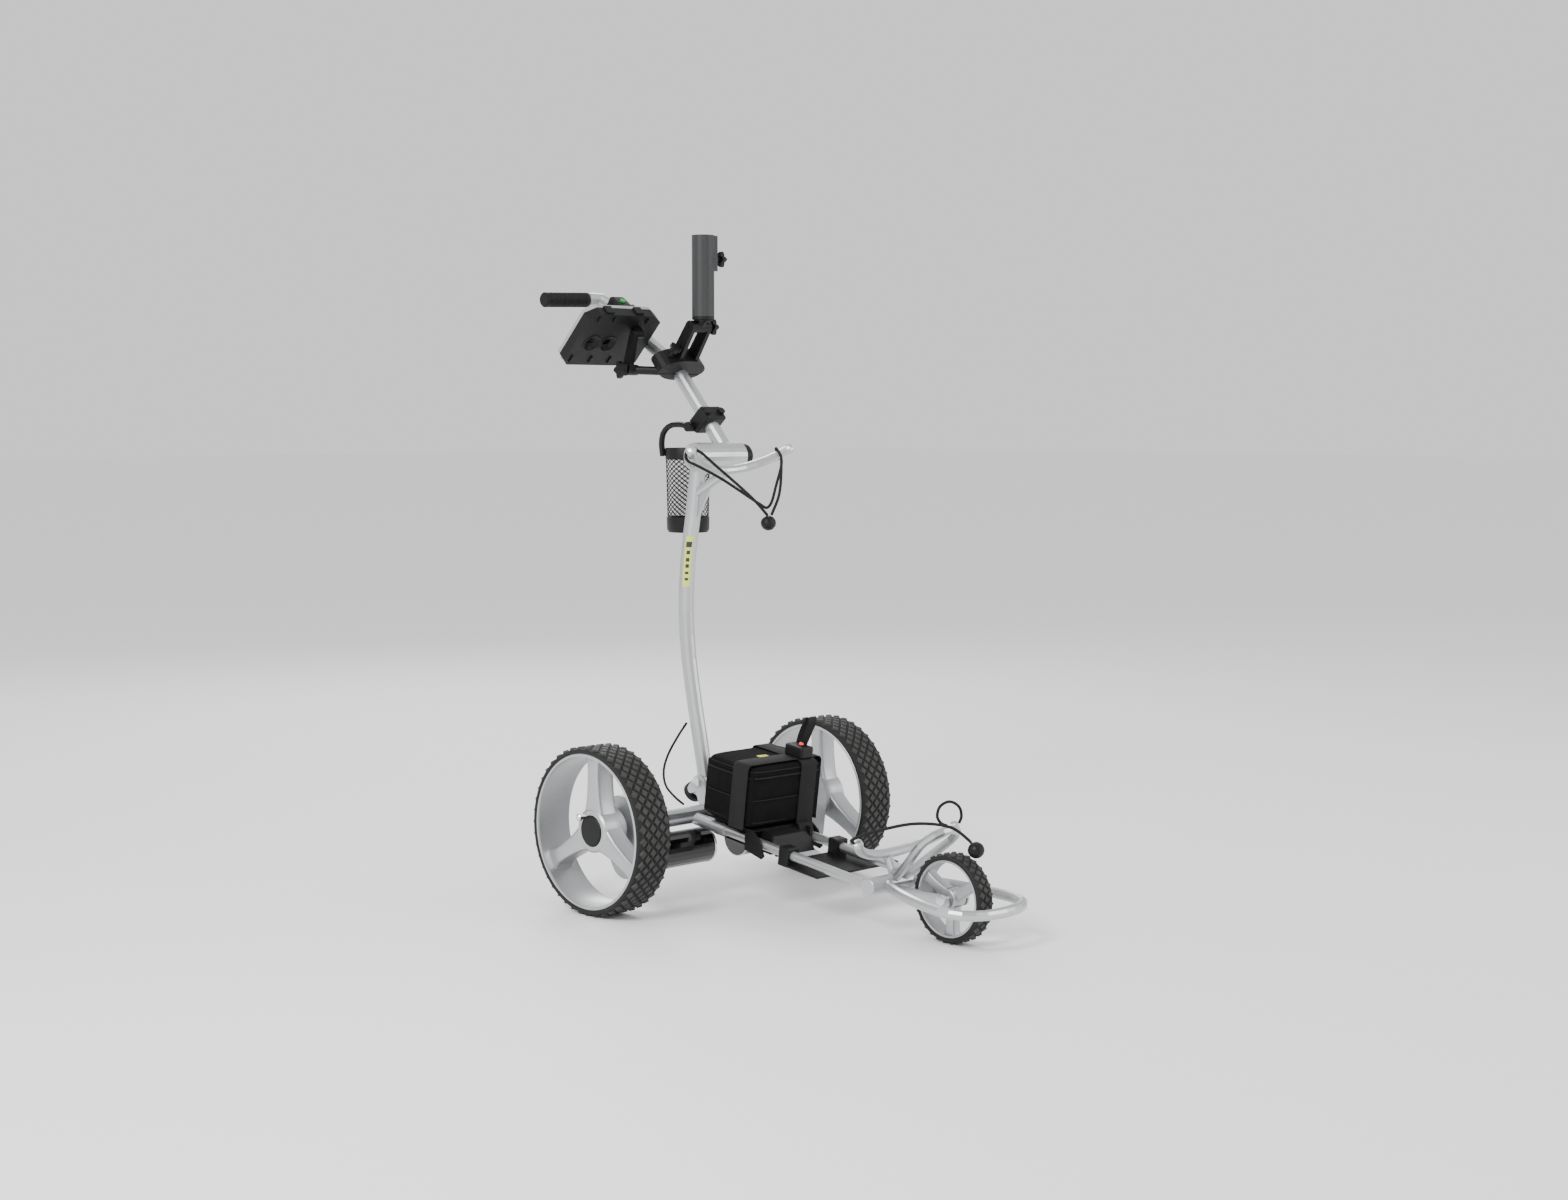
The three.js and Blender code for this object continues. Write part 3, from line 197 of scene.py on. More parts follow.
def mesh_from(name, verts, faces, smooth=True, sharp=40):
    mesh = bpy.data.meshes.new(name)
    mesh.from_pydata([tuple(v) for v in verts], [], faces)
    bm = bmesh.new()
    bm.from_mesh(mesh)
    bmesh.ops.remove_doubles(bm, verts=bm.verts, dist=1e-6)
    bmesh.ops.recalc_face_normals(bm, faces=bm.faces)
    for edge in bm.edges:
        if len(edge.link_faces) == 2 and edge.calc_face_angle(0) > math.radians(sharp):
            edge.smooth = False
    for face in bm.faces:
        face.smooth = smooth
    bm.to_mesh(mesh)
    bm.free()
    return mesh


def spline(points, count):
    """Centripetal Catmull-Rom points along a route given in millimetres from the rear axle."""
    route = [Vector((x / 1000 + axle_to_frame, y / 1000, z / 1000)) for x, y, z in points]
    ends = [route[0] * 2 - route[1]] + route + [route[-1] * 2 - route[-2]]
    made = []
    spans = len(route) - 1
    for step in range(count + 1):
        where = step / count * spans
        i = min(int(where), spans - 1)
        t = where - i
        p0, p1, p2, p3 = ends[i:i + 4]
        d1 = max((p1 - p0).length ** 0.5, 1e-5)
        d2 = max((p2 - p1).length ** 0.5, 1e-5)
        d3 = max((p3 - p2).length ** 0.5, 1e-5)
        m1 = ((p1 - p0) / d1 - (p2 - p0) / (d1 + d2) + (p2 - p1) / d2) * d2
        m2 = ((p2 - p1) / d2 - (p3 - p1) / (d2 + d3) + (p3 - p2) / d3) * d2
        a = 2 * p1 - 2 * p2 + m1 + m2
        b = -3 * p1 + 3 * p2 - 2 * m1 - m2
        made.append(a * t ** 3 + b * t ** 2 + m1 * t + p1)
    return made


def tube_mesh(name, path, radius, sides=12, cap=0.3):
    """A closed round tube along a path, its ends slightly domed."""
    reach = radius if callable(radius) else (lambda share: radius)
    verts = []
    faces = []
    normal = None
    rings = []
    for i, point in enumerate(path):
        ahead = path[min(i + 1, len(path) - 1)] - path[max(i - 1, 0)]
        ahead.normalize()
        if normal is None:
            normal = ahead.orthogonal().normalized()
        else:
            normal = (normal - ahead * normal.dot(ahead)).normalized()
        side = ahead.cross(normal)
        r = reach(i / (len(path) - 1))
        rings.append((point, ahead, normal.copy(), side, r))
    for point, ahead, normal, side, r in rings:
        for k in range(sides):
            turn = 2 * math.pi * k / sides
            verts.append(point + (normal * math.cos(turn) + side * math.sin(turn)) * r)
    for i in range(len(path) - 1):
        for k in range(sides):
            a = i * sides + k
            b = i * sides + (k + 1) % sides
            faces.append((a, b, b + sides, a + sides))
    shoulder = 0.7  # of the radius, where the domed end turns in
    for end, sign in ((0, -1), (len(path) - 1, 1)):
        point, ahead, normal, side, r = rings[end]
        first = len(verts)
        for k in range(sides):
            turn = 2 * math.pi * k / sides
            spoke = (normal * math.cos(turn) + side * math.sin(turn)) * r * shoulder
            verts.append(point + spoke + ahead * sign * r * cap * shoulder)
        verts.append(point + ahead * sign * r * cap)
        tip = len(verts) - 1
        for k in range(sides):
            n = (k + 1) % sides
            faces.append((end * sides + k, end * sides + n, first + n, first + k))
            faces.append((first + k, first + n, tip))
    return mesh_from(name, verts, faces)


def path_length(path):
    return sum((b - a).length for a, b in zip(path, path[1:]))


elastic = Finish("woven_elastic", (0.006, 0.006, 0.006), 0.75, Specular_IOR_Level=0.2)
weave = elastic.cells(900.0)
elastic.tint(elastic.between(weave, 0, 1), (0.003, 0.003, 0.003), (0.02, 0.02, 0.02)).bump(weave, 0.0005)
cord_r = 0.0026
smoothing = 6  # steps from one point of a route to the next
cords = {
    "upper_bungee": ("upright", "knot", ["upper_bungee_ball"], [
        [76, 64, 678.5], [79, 80, 715], [70, 94, 772], [66.5, 96, 782.5], [62, 95.5, 789],
        [54.5, 97, 795], [47, 102.5, 795], [43.5, 109, 789], [46.5, 112.5, 780.5], [50.5, 113.5, 773.5],
        [60, 90, 728], [67, 70, 697], [67, 60, 691], [64, 46, 698], [58, -40, 744], [59.5, -108, 771.5],
        [53, -111, 774.5], [46, -112.5, 781], [43.5, -109, 789.5], [47.5, -102, 795], [55, -97, 794.5],
        [62, -93.5, 791.5], [69, -70, 772], [76, 20, 707], [73, 56, 678.6]]),
    "lower_bungee": ("chassis", "knot", ["lower_bungee_ball"], [
        [466, -128.5, 167.5], [467, -134, 172], [480, -118, 181], [498, -92, 189], [534, -52, 198],
        [575, -14, 192], [596, 2, 174], [601, 5, 168.5]]),
    "lower_bungee_loop": ("chassis", "object", [], [
        [466, 128.5, 167.5], [468, 132, 178], [470, 124, 196], [466, 104, 207], [462, 84, 200],
        [462, 78, 184], [464, 86, 172], [466, 97, 167]]),
}
for name, (body, far_end, extras, points) in cords.items():
    route = spline(points, len(points) * smoothing)
    strand = piece(f"{name}_cord", tube_mesh(name, route, cord_r), elastic.material, body, name)
    path_length(route)

# ---------- silver frame, upright and handle ----------
# Bent aluminium tube, welded at its joints, then sprayed satin silver and baked.
# The axle beam, rails, front loop, cradles, upright and handle are all one family.
silver = Finish("sprayed_silver", (0.50, 0.51, 0.52), 0.3, 0.9, Coat_Weight=0.15)
fleck = silver.noise(900.0, 2)
silver.tint(fleck, (0.44, 0.45, 0.46), (0.58, 0.59, 0.60)).rough(silver.noise(14.0, 5), 0.27, 0.43)
silver.bump(silver.noise(260.0, 2), 0.00008, 0.5)


def dress(finish, *nodes):
    """Gives carried-over rigid pieces their finish."""
    for node in nodes:
        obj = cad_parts[node]
        obj.data.materials.clear()
        obj.data.materials.append(finish.material)


dress(silver, "axle_beam", "rail_left", "rail_right", "front_frame", "lower_cradle", "upper_cradle",
      "handle_tube", "upright_tube")

# ---------- bolts, shafts and rotors ----------
# Turned steel, zinc plated, and bright where it runs in a bearing.
# The bolts go through the fork, the fold pivot and the handle hinge.
plated = Finish("plated_steel", (0.72, 0.73, 0.74), 0.2, 1.0)
plated.rough(plated.noise(60.0), 0.14, 0.3).bump(plated.noise(400.0), 0.00005)
dress(plated, "front_axle_bolt", "pivot_bolt", "hinge_bolt", "axle_shaft_left", "axle_shaft_right",
      "motor_rotor_left", "motor_rotor_right")

# ---------- rear wheels ----------
# Cast three-spoke rims in satin silver, and dark tyres whose tread is rows of raised diamond blocks.
# Each wheel slides on its drive shaft and is held by a quick-release pin beside the hub cap.
wheel_r, wheel_y = 0.146, 0.27
tread_rows = (-0.0265, -0.0158, -0.0053, 0.0053, 0.0158, 0.0265)
cast = Finish("cast_silver", (0.47, 0.48, 0.49), 0.4, 0.85, Coat_Weight=0.1)
cast.tint(cast.noise(500.0, 3), (0.40, 0.41, 0.42), (0.54, 0.55, 0.56)).rough(cast.noise(18.0), 0.34, 0.5)
cast.bump(cast.noise(420.0, 3), 0.00012, 0.6)
tyre = Finish("tyre_rubber", (0.01, 0.01, 0.0095), 0.72, Specular_IOR_Level=0.3)
dust = tyre.noise(90.0, 6)
tyre.tint(dust, (0.005, 0.005, 0.005), (0.02, 0.02, 0.019)).rough(dust, 0.6, 0.85)
tyre.bump(tyre.noise(700.0), 0.0001)
block_top = Finish("worn_tread", (0.03, 0.03, 0.029), 0.6, Specular_IOR_Level=0.35)
block_top.tint(block_top.noise(160.0, 5), (0.012, 0.012, 0.012), (0.045, 0.045, 0.043))
block_top.bump(block_top.noise(600.0), 0.0001)


def lathe(name, profile, centre, segments=120, closed=True):
    """A ring about the wheel's axis through centre from (radius, y) points in metres."""
    verts = []
    faces = []
    count = len(profile)
    for i in range(segments):
        turn = 2 * math.pi * i / segments
        for r, y in profile:
            verts.append((centre[0] + r * math.cos(turn), centre[1] + y, centre[2] + r * math.sin(turn)))
    last = count if closed else count - 1
    for i in range(segments):
        n = (i + 1) % segments
        for j in range(last):
            k = (j + 1) % count
            faces.append((i * count + j, n * count + j, n * count + k, i * count + k))
    return mesh_from(name, verts, faces, sharp=35)


def tread(name, centre, outer, base, around, rows, across, along):
    """Raised diamond blocks in staggered rows round a tyre."""
    verts = []
    faces = []
    for row, y in enumerate(rows):
        for i in range(around):
            middle = 2 * math.pi * (i + 0.5 * (row % 2)) / around
            first = len(verts)
            for r, share in ((base, 1.0), (outer - 0.0006, 0.84), (outer, 0.7)):
                for a, w in ((along, 0), (0, across), (-along, 0), (0, -across)):
                    turn = middle + a * share / outer
                    verts.append((centre[0] + r * math.cos(turn), centre[1] + y + w * share,
                                  centre[2] + r * math.sin(turn)))
            for low in (first, first + 4):
                for k in range(4):
                    n = (k + 1) % 4
                    faces.append((low + k, low + n, low + 4 + n, low + 4 + k))
            faces.append((first + 3, first + 2, first + 1, first))
            faces.append((first + 8, first + 9, first + 10, first + 11))
    return mesh_from(name, verts, faces, smooth=False)


def spoke_mesh(name, centre, angle, stations, depth):
    """A broad cast spoke with rounded edges, flaring into the rim: stations are (radius, half width)."""
    verts = []
    faces = []
    sides = 28
    squareness = 0.32
    out = Vector((math.cos(angle), 0, math.sin(angle)))
    side = Vector((-math.sin(angle), 0, math.cos(angle)))
    for r, half in stations:
        for k in range(sides):
            turn = 2 * math.pi * k / sides
            c = math.copysign(abs(math.cos(turn)) ** squareness, math.cos(turn))
            s = math.copysign(abs(math.sin(turn)) ** squareness, math.sin(turn))
            verts.append(Vector(centre) + out * r + side * (half * c) + Vector((0, depth * s, 0)))
    for i in range(len(stations) - 1):
        for k in range(sides):
            n = (k + 1) % sides
            faces.append((i * sides + k, i * sides + n, (i + 1) * sides + n, (i + 1) * sides + k))
    faces.append(tuple(range(sides)))
    faces.append(tuple((len(stations) - 1) * sides + k for k in reversed(range(sides))))
    return mesh_from(name, verts, faces, sharp=50)


def merged(name, *meshes):
    """Several meshes as one."""
    bm = bmesh.new()
    for mesh in meshes:
        bm.from_mesh(mesh)
    whole = bpy.data.meshes.new(name)
    bm.to_mesh(whole)
    bm.free()
    return whole


for side, sign in (("left", 1), ("right", -1)):
    centre = (axle_to_frame, sign * wheel_y, wheel_r)
    body = f"rear_wheel_{side}"
    carcass = [(0.1347, -0.0352), (0.139, -0.0357), (0.1412, -0.0345), (0.1424, -0.0315), (0.1427, -0.02),
               (0.1428, 0.0), (0.1427, 0.02), (0.1424, 0.0315), (0.1412, 0.0345), (0.139, 0.0357),
               (0.1347, 0.0352)]
    rubber = lathe(f"tyre_{side}", carcass, centre)
    piece(f"tyre_{side}", rubber, tyre.material, body, f"rear_tyre_{side}")
    blocks = tread(f"tread_{side}", centre, wheel_r, 0.1422, 44, tread_rows, 0.0078, 0.0088)
    piece(f"tread_{side}", blocks, block_top.material, body)
    barrel = [(0.1344, -0.0342), (0.1344, 0.0342), (0.1325, 0.0352), (0.1296, 0.0348), (0.1288, 0.0325),
              (0.1302, 0.029), (0.1304, -0.029), (0.1288, -0.0325), (0.1296, -0.0348), (0.1325, -0.0352)]
    shell = lathe("barrel", barrel, centre)
    hub_profile = [(0.0084, 0.016), (0.0275, 0.0165), (0.0275, 0.0212), (0.0345, 0.0212), (0.0378, 0.0185),
                   (0.038, 0.0), (0.038, -0.025), (0.0362, -0.0278), (0.0084, -0.0278)]
    hub = lathe("hub", [(r, sign * y) for r, y in hub_profile], centre, 96)
    arms = [spoke_mesh("spoke", centre, math.radians(90 + 120 * i),
                       [(0.030, 0.024), (0.040, 0.0205), (0.055, 0.0172), (0.075, 0.0150), (0.098, 0.0138),
                        (0.114, 0.0142), (0.123, 0.0165), (0.1305, 0.0225)], 0.0195) for i in range(3)]
    rim = merged(f"rim_{side}", shell, hub, *arms)
    piece(f"rim_{side}", rim, cast.material, body, f"rear_rim_{side}")
    pin_out, pin_turn = 0.030, 2.3
    pin_x, pin_z = pin_out * math.cos(pin_turn), pin_out * math.sin(pin_turn)
    pin_at = (centre[0] + pin_x, sign * 0.2885, centre[2] + pin_z)
    button = lathe("quick_pin", [(0.0, 0.0), (0.0045, 0.0), (0.0045, sign * 0.010), (0.0062, sign * 0.011),
                                 (0.0062, sign * 0.0145), (0.004, sign * 0.0165), (0.0, sign * 0.0168)],
                   pin_at, 32, False)
    piece(f"quick_pin_{side}", button, plated.material, body)
moulded = Finish("moulded_black", (0.006, 0.006, 0.0065), 0.42, Specular_IOR_Level=0.22)
grain = moulded.cells(1400.0)
moulded.rough(moulded.noise(35.0), 0.36, 0.52).bump(grain, 0.0002, 0.4)
dress(moulded, "hub_cap_left", "hub_cap_right")

# ---------- drive units ----------
# Gloss black enamelled motor cans with a pressed steel ring at their inner ends.
# Each is bolted under the axle beam to a cast gearbox beside its wheel.
enamel = Finish("motor_enamel", (0.003, 0.003, 0.0035), 0.16, 0.0, Coat_Weight=0.4)
enamel.rough(enamel.noise(25.0), 0.1, 0.24).bump(enamel.noise(120.0), 0.00005)
dress(enamel, "motor_can_left", "motor_can_right")
dress(cast, "gearbox_housing_left", "gearbox_housing_right")
for side, sign in (("left", 1), ("right", -1)):
    ring = [(0.0305, 0.0), (0.0322, 0.0004), (0.0322, 0.0032), (0.0316, 0.004), (0.0305, 0.004)]
    ring_at = (0.010 + axle_to_frame, sign * 0.0375, 0.092)
    band = lathe("can_ring", [(r, sign * y) for r, y in ring], ring_at, 64)
    piece(f"can_ring_{side}", band, plated.material, "chassis")

# ---------- front wheel ----------
# The same cast rim and diamond tread at half the size, with three rows of blocks.
# It runs on a plain bolt between the two fork plates.
front_r = 0.074
front = (wheelbase + axle_to_frame, 0, front_r)
carcass = [(0.0635, -0.0165), (0.068, -0.017), (0.0705, -0.0155), (0.0714, -0.012), (0.0716, 0.0),
           (0.0714, 0.012), (0.0705, 0.0155), (0.068, 0.017), (0.0635, 0.0165)]
rubber = lathe("tyre_front", carcass, front, 96)
piece("tyre_front", rubber, tyre.material, "front_wheel", "front_tyre")
blocks = tread("tread_front", front, front_r, 0.0712, 30, (-0.0095, 0.0, 0.0095), 0.0068, 0.0068)
piece("tread_front", blocks, block_top.material, "front_wheel")
barrel = [(0.0632, -0.016), (0.0632, 0.016), (0.0615, 0.0166), (0.0598, 0.0158), (0.0604, 0.013),
          (0.0604, -0.013), (0.0598, -0.0158), (0.0615, -0.0166)]
hub_profile = [(0.0054, 0.015), (0.0145, 0.015), (0.016, 0.0135), (0.016, -0.0135), (0.0145, -0.015),
               (0.0054, -0.015)]
flare = [(0.013, 0.0115), (0.022, 0.0095), (0.040, 0.008), (0.053, 0.0085), (0.0606, 0.0125)]
arms = [spoke_mesh("spoke", front, math.radians(-90 + 120 * i), flare, 0.0098) for i in range(3)]
rim = merged("rim_front", lathe("barrel", barrel, front, 96), lathe("hub", hub_profile, front, 48), *arms)
piece("rim_front", rim, cast.material, "front_wheel", "front_rim")

# ---------- battery bag ----------
# A padded black nylon box bag with piped seams, zipped round the lid, on a tray between the rails.
# Its rigid case keeps it square, so the cloth only swells a little between the seams.
nylon = Finish("bag_nylon", (0.003, 0.003, 0.003), 0.9, Specular_IOR_Level=0.12)
thread = nylon.bands(420.0, "X") + nylon.bands(420.0, "Z") + nylon.bands(420.0, "Y")
nylon.tint(nylon.noise(30.0, 5), (0.0015, 0.0015, 0.0015), (0.008, 0.008, 0.008)).bump(thread, 0.0004, 0.5)
belt = Finish("belt_webbing", (0.01, 0.01, 0.01), 0.75, Specular_IOR_Level=0.2)
ribs = belt.bands(300.0, "DIAGONAL")
belt.tint(ribs, (0.004, 0.004, 0.004), (0.022, 0.022, 0.022)).bump(ribs, 0.0005, 0.7)
lean = math.atan(0.135)  # the tray lies on the sloping rails
pack_at = Vector((0.112 + axle_to_frame, 0, 0.153))


def on_pack(x, y, z):
    """Millimetres on the sloping battery tray to the trolley's frame."""
    x, y, z = x / 1000, y / 1000, z / 1000
    along, up = x * math.cos(lean) + z * math.sin(lean), z * math.cos(lean) - x * math.sin(lean)
    return Vector((along, y, up)) + pack_at


def squircle(turn, half_x, half_y, power=0.28):
    c = math.copysign(abs(math.cos(turn)) ** power, math.cos(turn))
    s = math.copysign(abs(math.sin(turn)) ** power, math.sin(turn))
    return half_x * c, half_y * s


bag_half_x, bag_half_y = 61.0, 86.0
bag_top, lid_seam, side_seam = 106.5, 88.0, 48.0
edge_round = 9.0
seam_sink = 0.9
columns = 160


def bag_ring(z, inset, swell):
    """One level of the bag's cloth: it swells out and creases a little between its seams."""
    ring = []
    for k in range(columns):
        turn = 2 * math.pi * (k + 0.5) / columns
        x, y = squircle(turn, bag_half_x - inset, bag_half_y - inset)
        crease = noise.noise(Vector((x * 0.035, y * 0.035, z * 0.06))) * 1.6
        grow = swell + crease if inset < 6 else crease * 0.5
        away = math.hypot(x, y)
        ring.append(on_pack(x + x / away * grow, y + y / away * grow, z))
    return ring


quarter = [math.pi / 2 * i / 8 for i in range(9)]
rings = []
for turn in quarter:
    rings.append(bag_ring(edge_round * (1 - math.cos(turn)), edge_round * (1 - math.sin(turn)), 0))
for z in range(11, 96, 2):
    on_seam = min(abs(z - side_seam), abs(z - lid_seam)) < 1.1
    swell = 1.6 * math.sin(math.pi * min(1.0, abs(z - side_seam) / 40))
    rings.append(bag_ring(z, seam_sink if on_seam else 0.0, swell))
for turn in quarter:
    rings.append(bag_ring(bag_top - edge_round * (1 - math.sin(turn)), edge_round * (1 - math.cos(turn)), 0))
for share in (0.75, 0.5, 0.25):
    ring = []
    for k in range(columns):
        x, y = squircle(2 * math.pi * (k + 0.5) / columns, bag_half_x - edge_round, bag_half_y - edge_round)
        ring.append(on_pack(x * share, y * share, bag_top + 0.8 * (1 - share)))
    rings.append(ring)
verts = [p for ring in rings for p in ring]
faces = []
for i in range(len(rings) - 1):
    for k in range(columns):
        n = (k + 1) % columns
        faces.append((i * columns + k, i * columns + n, (i + 1) * columns + n, (i + 1) * columns + k))
verts += [on_pack(0, 0, bag_top + 0.9), on_pack(0, 0, 0)]
highest = (len(rings) - 1) * columns
for k in range(columns):
    n = (k + 1) % columns
    faces.append((highest + k, highest + n, len(verts) - 2))
    faces.append((k, n, len(verts) - 1))
cloth = mesh_from("battery_bag_cloth", verts, faces, sharp=70)
bag = piece("battery_bag_cloth", cloth, nylon.material, "chassis", "battery_bag", "battery_bag_lid")
for name, z, grow in (("bag_piping", side_seam, 0.2), ("bag_zip", lid_seam, 0.5),
                      ("bag_foot_piping", 8, -0.6), ("bag_lid_piping", 99, -0.6)):
    loop = []
    for k in range(columns + 1):
        x, y = squircle(2 * math.pi * (k + 0.5) / columns, bag_half_x + grow, bag_half_y + grow)
        loop.append(on_pack(x, y, z))
    radius = 0.0016 if name == "bag_zip" else 0.0011
    line = piece(name, tube_mesh(name, loop, radius, 8), belt.material, "chassis")


def ribbon(name, path, across, width, thick):
    """Webbing along a path: across is the direction of its width."""
    verts = []
    faces = []
    across = Vector(across).normalized()
    for i, point in enumerate(path):
        ahead = (path[min(i + 1, len(path) - 1)] - path[max(i - 1, 0)]).normalized()
        up = ahead.cross(across).normalized()
        for w, t in ((-0.5, 0), (-0.46, 0.5), (0.46, 0.5), (0.5, 0), (0.46, -0.5), (-0.46, -0.5)):
            verts.append(point + across * (w * width) + up * (t * thick))
    for i in range(len(path) - 1):
        for k in range(6):
            n = (k + 1) % 6
            faces.append((i * 6 + k, i * 6 + n, (i + 1) * 6 + n, (i + 1) * 6 + k))
    last = (len(path) - 1) * 6
    faces.append((0, 1, 2, 3, 4, 5))
    faces.append((last + 5, last + 4, last + 3, last + 2, last + 1, last))
    return mesh_from(name, verts, faces, sharp=60)


def rounded(corner_points, radius, steps=6):
    """A path in two numbers whose corners are rounded."""
    made = [corner_points[0]]
    for a, b, c in zip(corner_points, corner_points[1:], corner_points[2:]):
        a, b, c = Vector(a), Vector(b), Vector(c)
        start = b + (a - b).normalized() * radius
        end = b + (c - b).normalized() * radius
        for i in range(steps + 1):
            t = i / steps
            made.append(tuple((1 - t) ** 2 * start + 2 * t * (1 - t) * b + t * t * end))
    made.append(corner_points[-1])
    return made


# Two straps cross over the bag and go down to the tray; one ends in a loop to pull, one in a loop below.
web_wide, web_thick = 0.038, 0.0018
front_back = rounded([(-63.6, -4), (-63.6, 109.2), (64.0, 109.2), (64.0, -4)], 10)
strap = [on_pack(x, 47, z) for x, z in front_back]
side_side = rounded([(-88.6, -4), (-88.6, 110.6), (88.6, 110.6), (88.6, -4)], 10)
cross = [on_pack(33, y, z) for y, z in side_side]
webs = merged("bag_straps", ribbon("strap", strap, (0, 1, 0), web_wide, web_thick),
              ribbon("strap", cross, on_pack(1, 0, 0) - on_pack(0, 0, 0), web_wide, web_thick))
piece("bag_straps", webs, belt.material, "chassis", "battery_strap")
tail = spline([(150, 60, 268), (154, 62, 290), (163, 65, 313), (172, 67, 325), (178, 66, 320), (171, 62, 299),
               (160, 60, 276)], 48)
pull_loop = ribbon("bag_pull_loop", tail, (0.35, 0.94, 0), 0.016, 0.0016)
piece("bag_pull_loop", pull_loop, belt.material, "chassis")
hanging = spline([(180, 45, 143), (184, 46, 128), (188, 47, 112), (186, 47, 101), (176, 46, 98),
                  (170, 46, 108), (172, 46, 124), (177, 45, 138)], 48)
end_loop = ribbon("strap_end_loop", hanging, (0, 1, 0), 0.034, web_thick)
piece("strap_end_loop", end_loop, belt.material, "chassis")
tag_yellow = Finish("plain_yellow_tag", (0.75, 0.68, 0.06), 0.5)
tag_yellow.rough(tag_yellow.noise(80.0), 0.42, 0.6).bump(tag_yellow.bands(500.0, "X"), 0.0002)
tag = [on_pack(x, -8, 108.2) for x in (-2, 0, 4, 8, 12, 16, 20, 22)]
tag_mesh = ribbon("plain_tag", tag, (0.2, 1, 0), 0.020, 0.0012)
piece("plain_tag", tag_mesh, tag_yellow.material, "chassis")
dress(moulded, "battery_connector", "battery_tray", "cross_plate")
dress(nylon, "battery")

# ---------- charge lamp ----------
# A small red lens, lit, pressed into the top of the connector box at the bag's corner.
# It is clear plastic over a bright diode, so it glows a little by itself.
lamp_red = Finish("red_lamp", (0.6, 0.01, 0.01), 0.25, 0.0, Emission_Strength=0.8)
lamp_red.shader.inputs["Emission Color"].default_value = (1.0, 0.03, 0.02, 1)
lamp_red.rough(lamp_red.noise(50.0), 0.2, 0.3)
lens_x, lens_y, around = 44, 42, 24
lens = ((4.2, 133.6), (4.2, 135.0), (3.4, 136.6), (1.8, 137.6), (0.2, 137.9))  # radius and height
turns = [2 * math.pi * k / around for k in range(around)]
verts = [on_pack(lens_x + r * math.cos(t), lens_y + r * math.sin(t), z) for r, z in lens for t in turns]
faces = []
for low in range(0, (len(lens) - 1) * around, around):
    for k in range(around):
        n = (k + 1) % around
        faces.append((low + k, low + n, low + around + n, low + around + k))
faces += [tuple(range(around)), tuple(range(len(verts) - around, len(verts)))]
lamp = mesh_from("charge_lamp", verts, faces)
piece("charge_lamp", lamp, lamp_red.material, "chassis")

# ---------- cup ----------
# A cup moulded in one shot of black nylon: solid bands at its mouth and foot, a diamond lattice between them.
# It hangs on a bent arm from a clamp on the handle tube.
cup_at = Vector((-0.153 + axle_to_frame, 0.070, 0))


def upright_lathe(name, profile, segments=72):
    """A closed ring about the cup's upright axis from (radius, height) points in metres."""
    verts = []
    faces = []
    count = len(profile)
    for i in range(segments):
        turn = 2 * math.pi * i / segments
        for r, z in profile:
            verts.append(cup_at + Vector((r * math.cos(turn), r * math.sin(turn), z)))
    for i in range(segments):
        n = (i + 1) % segments
        for j in range(count):
            k = (j + 1) % count
            faces.append((i * count + j, n * count + j, n * count + k, i * count + k))
    return mesh_from(name, verts, faces, sharp=35)


mouth = upright_lathe("mouth", [(0.0394, 0.775), (0.0398, 0.794), (0.0412, 0.795), (0.042, 0.793),
                                (0.0416, 0.774), (0.0402, 0.7735)])
foot = upright_lathe("foot", [(0.0005, 0.6435), (0.034, 0.6435), (0.0365, 0.648), (0.037, 0.668),
                              (0.0384, 0.6685), (0.0396, 0.667), (0.0392, 0.645), (0.036, 0.6395),
                              (0.0005, 0.6395)])
lattice = bmesh.new()
wide, tall = 44, 26  # knots round the cup and levels up it
net_low, net_high = (0.0375, 0.664), (0.0402, 0.778)  # radius and height
knots = {}
for row in range(tall + 1):
    for col in range(wide):
        if (row + col) % 2 == 0:
            r = net_low[0] + (net_high[0] - net_low[0]) * row / tall
            z = net_low[1] + (net_high[1] - net_low[1]) * row / tall
            turn = 2 * math.pi * col / wide
            knots[row, col] = lattice.verts.new(cup_at + Vector((r * math.cos(turn), r * math.sin(turn), z)))
for row in range(0, tall - 1):
    for col in range(wide):
        if (row + col) % 2 == 0 and (row + 2, col) in knots:
            lattice.faces.new((knots[row, col], knots[row + 1, (col + 1) % wide], knots[row + 2, col],
                               knots[row + 1, (col - 1) % wide]))
net_mesh = bpy.data.meshes.new("net")
lattice.to_mesh(net_mesh)
lattice.free()
net_obj = bpy.data.objects.new("net", net_mesh)
bpy.context.scene.collection.objects.link(net_obj)
wires = net_obj.modifiers.new("wires", "WIREFRAME")
wires.thickness = 0.0015
wires.use_boundary = True
net = bpy.data.meshes.new_from_object(net_obj.evaluated_get(bpy.context.evaluated_depsgraph_get()))
bpy.data.objects.remove(net_obj)
whole_cup = merged("mesh_cup", mouth, foot, net)
piece("mesh_cup", whole_cup, moulded.material, "cup", "cup")
dress(moulded, "cup_arm", "cup_clamp")

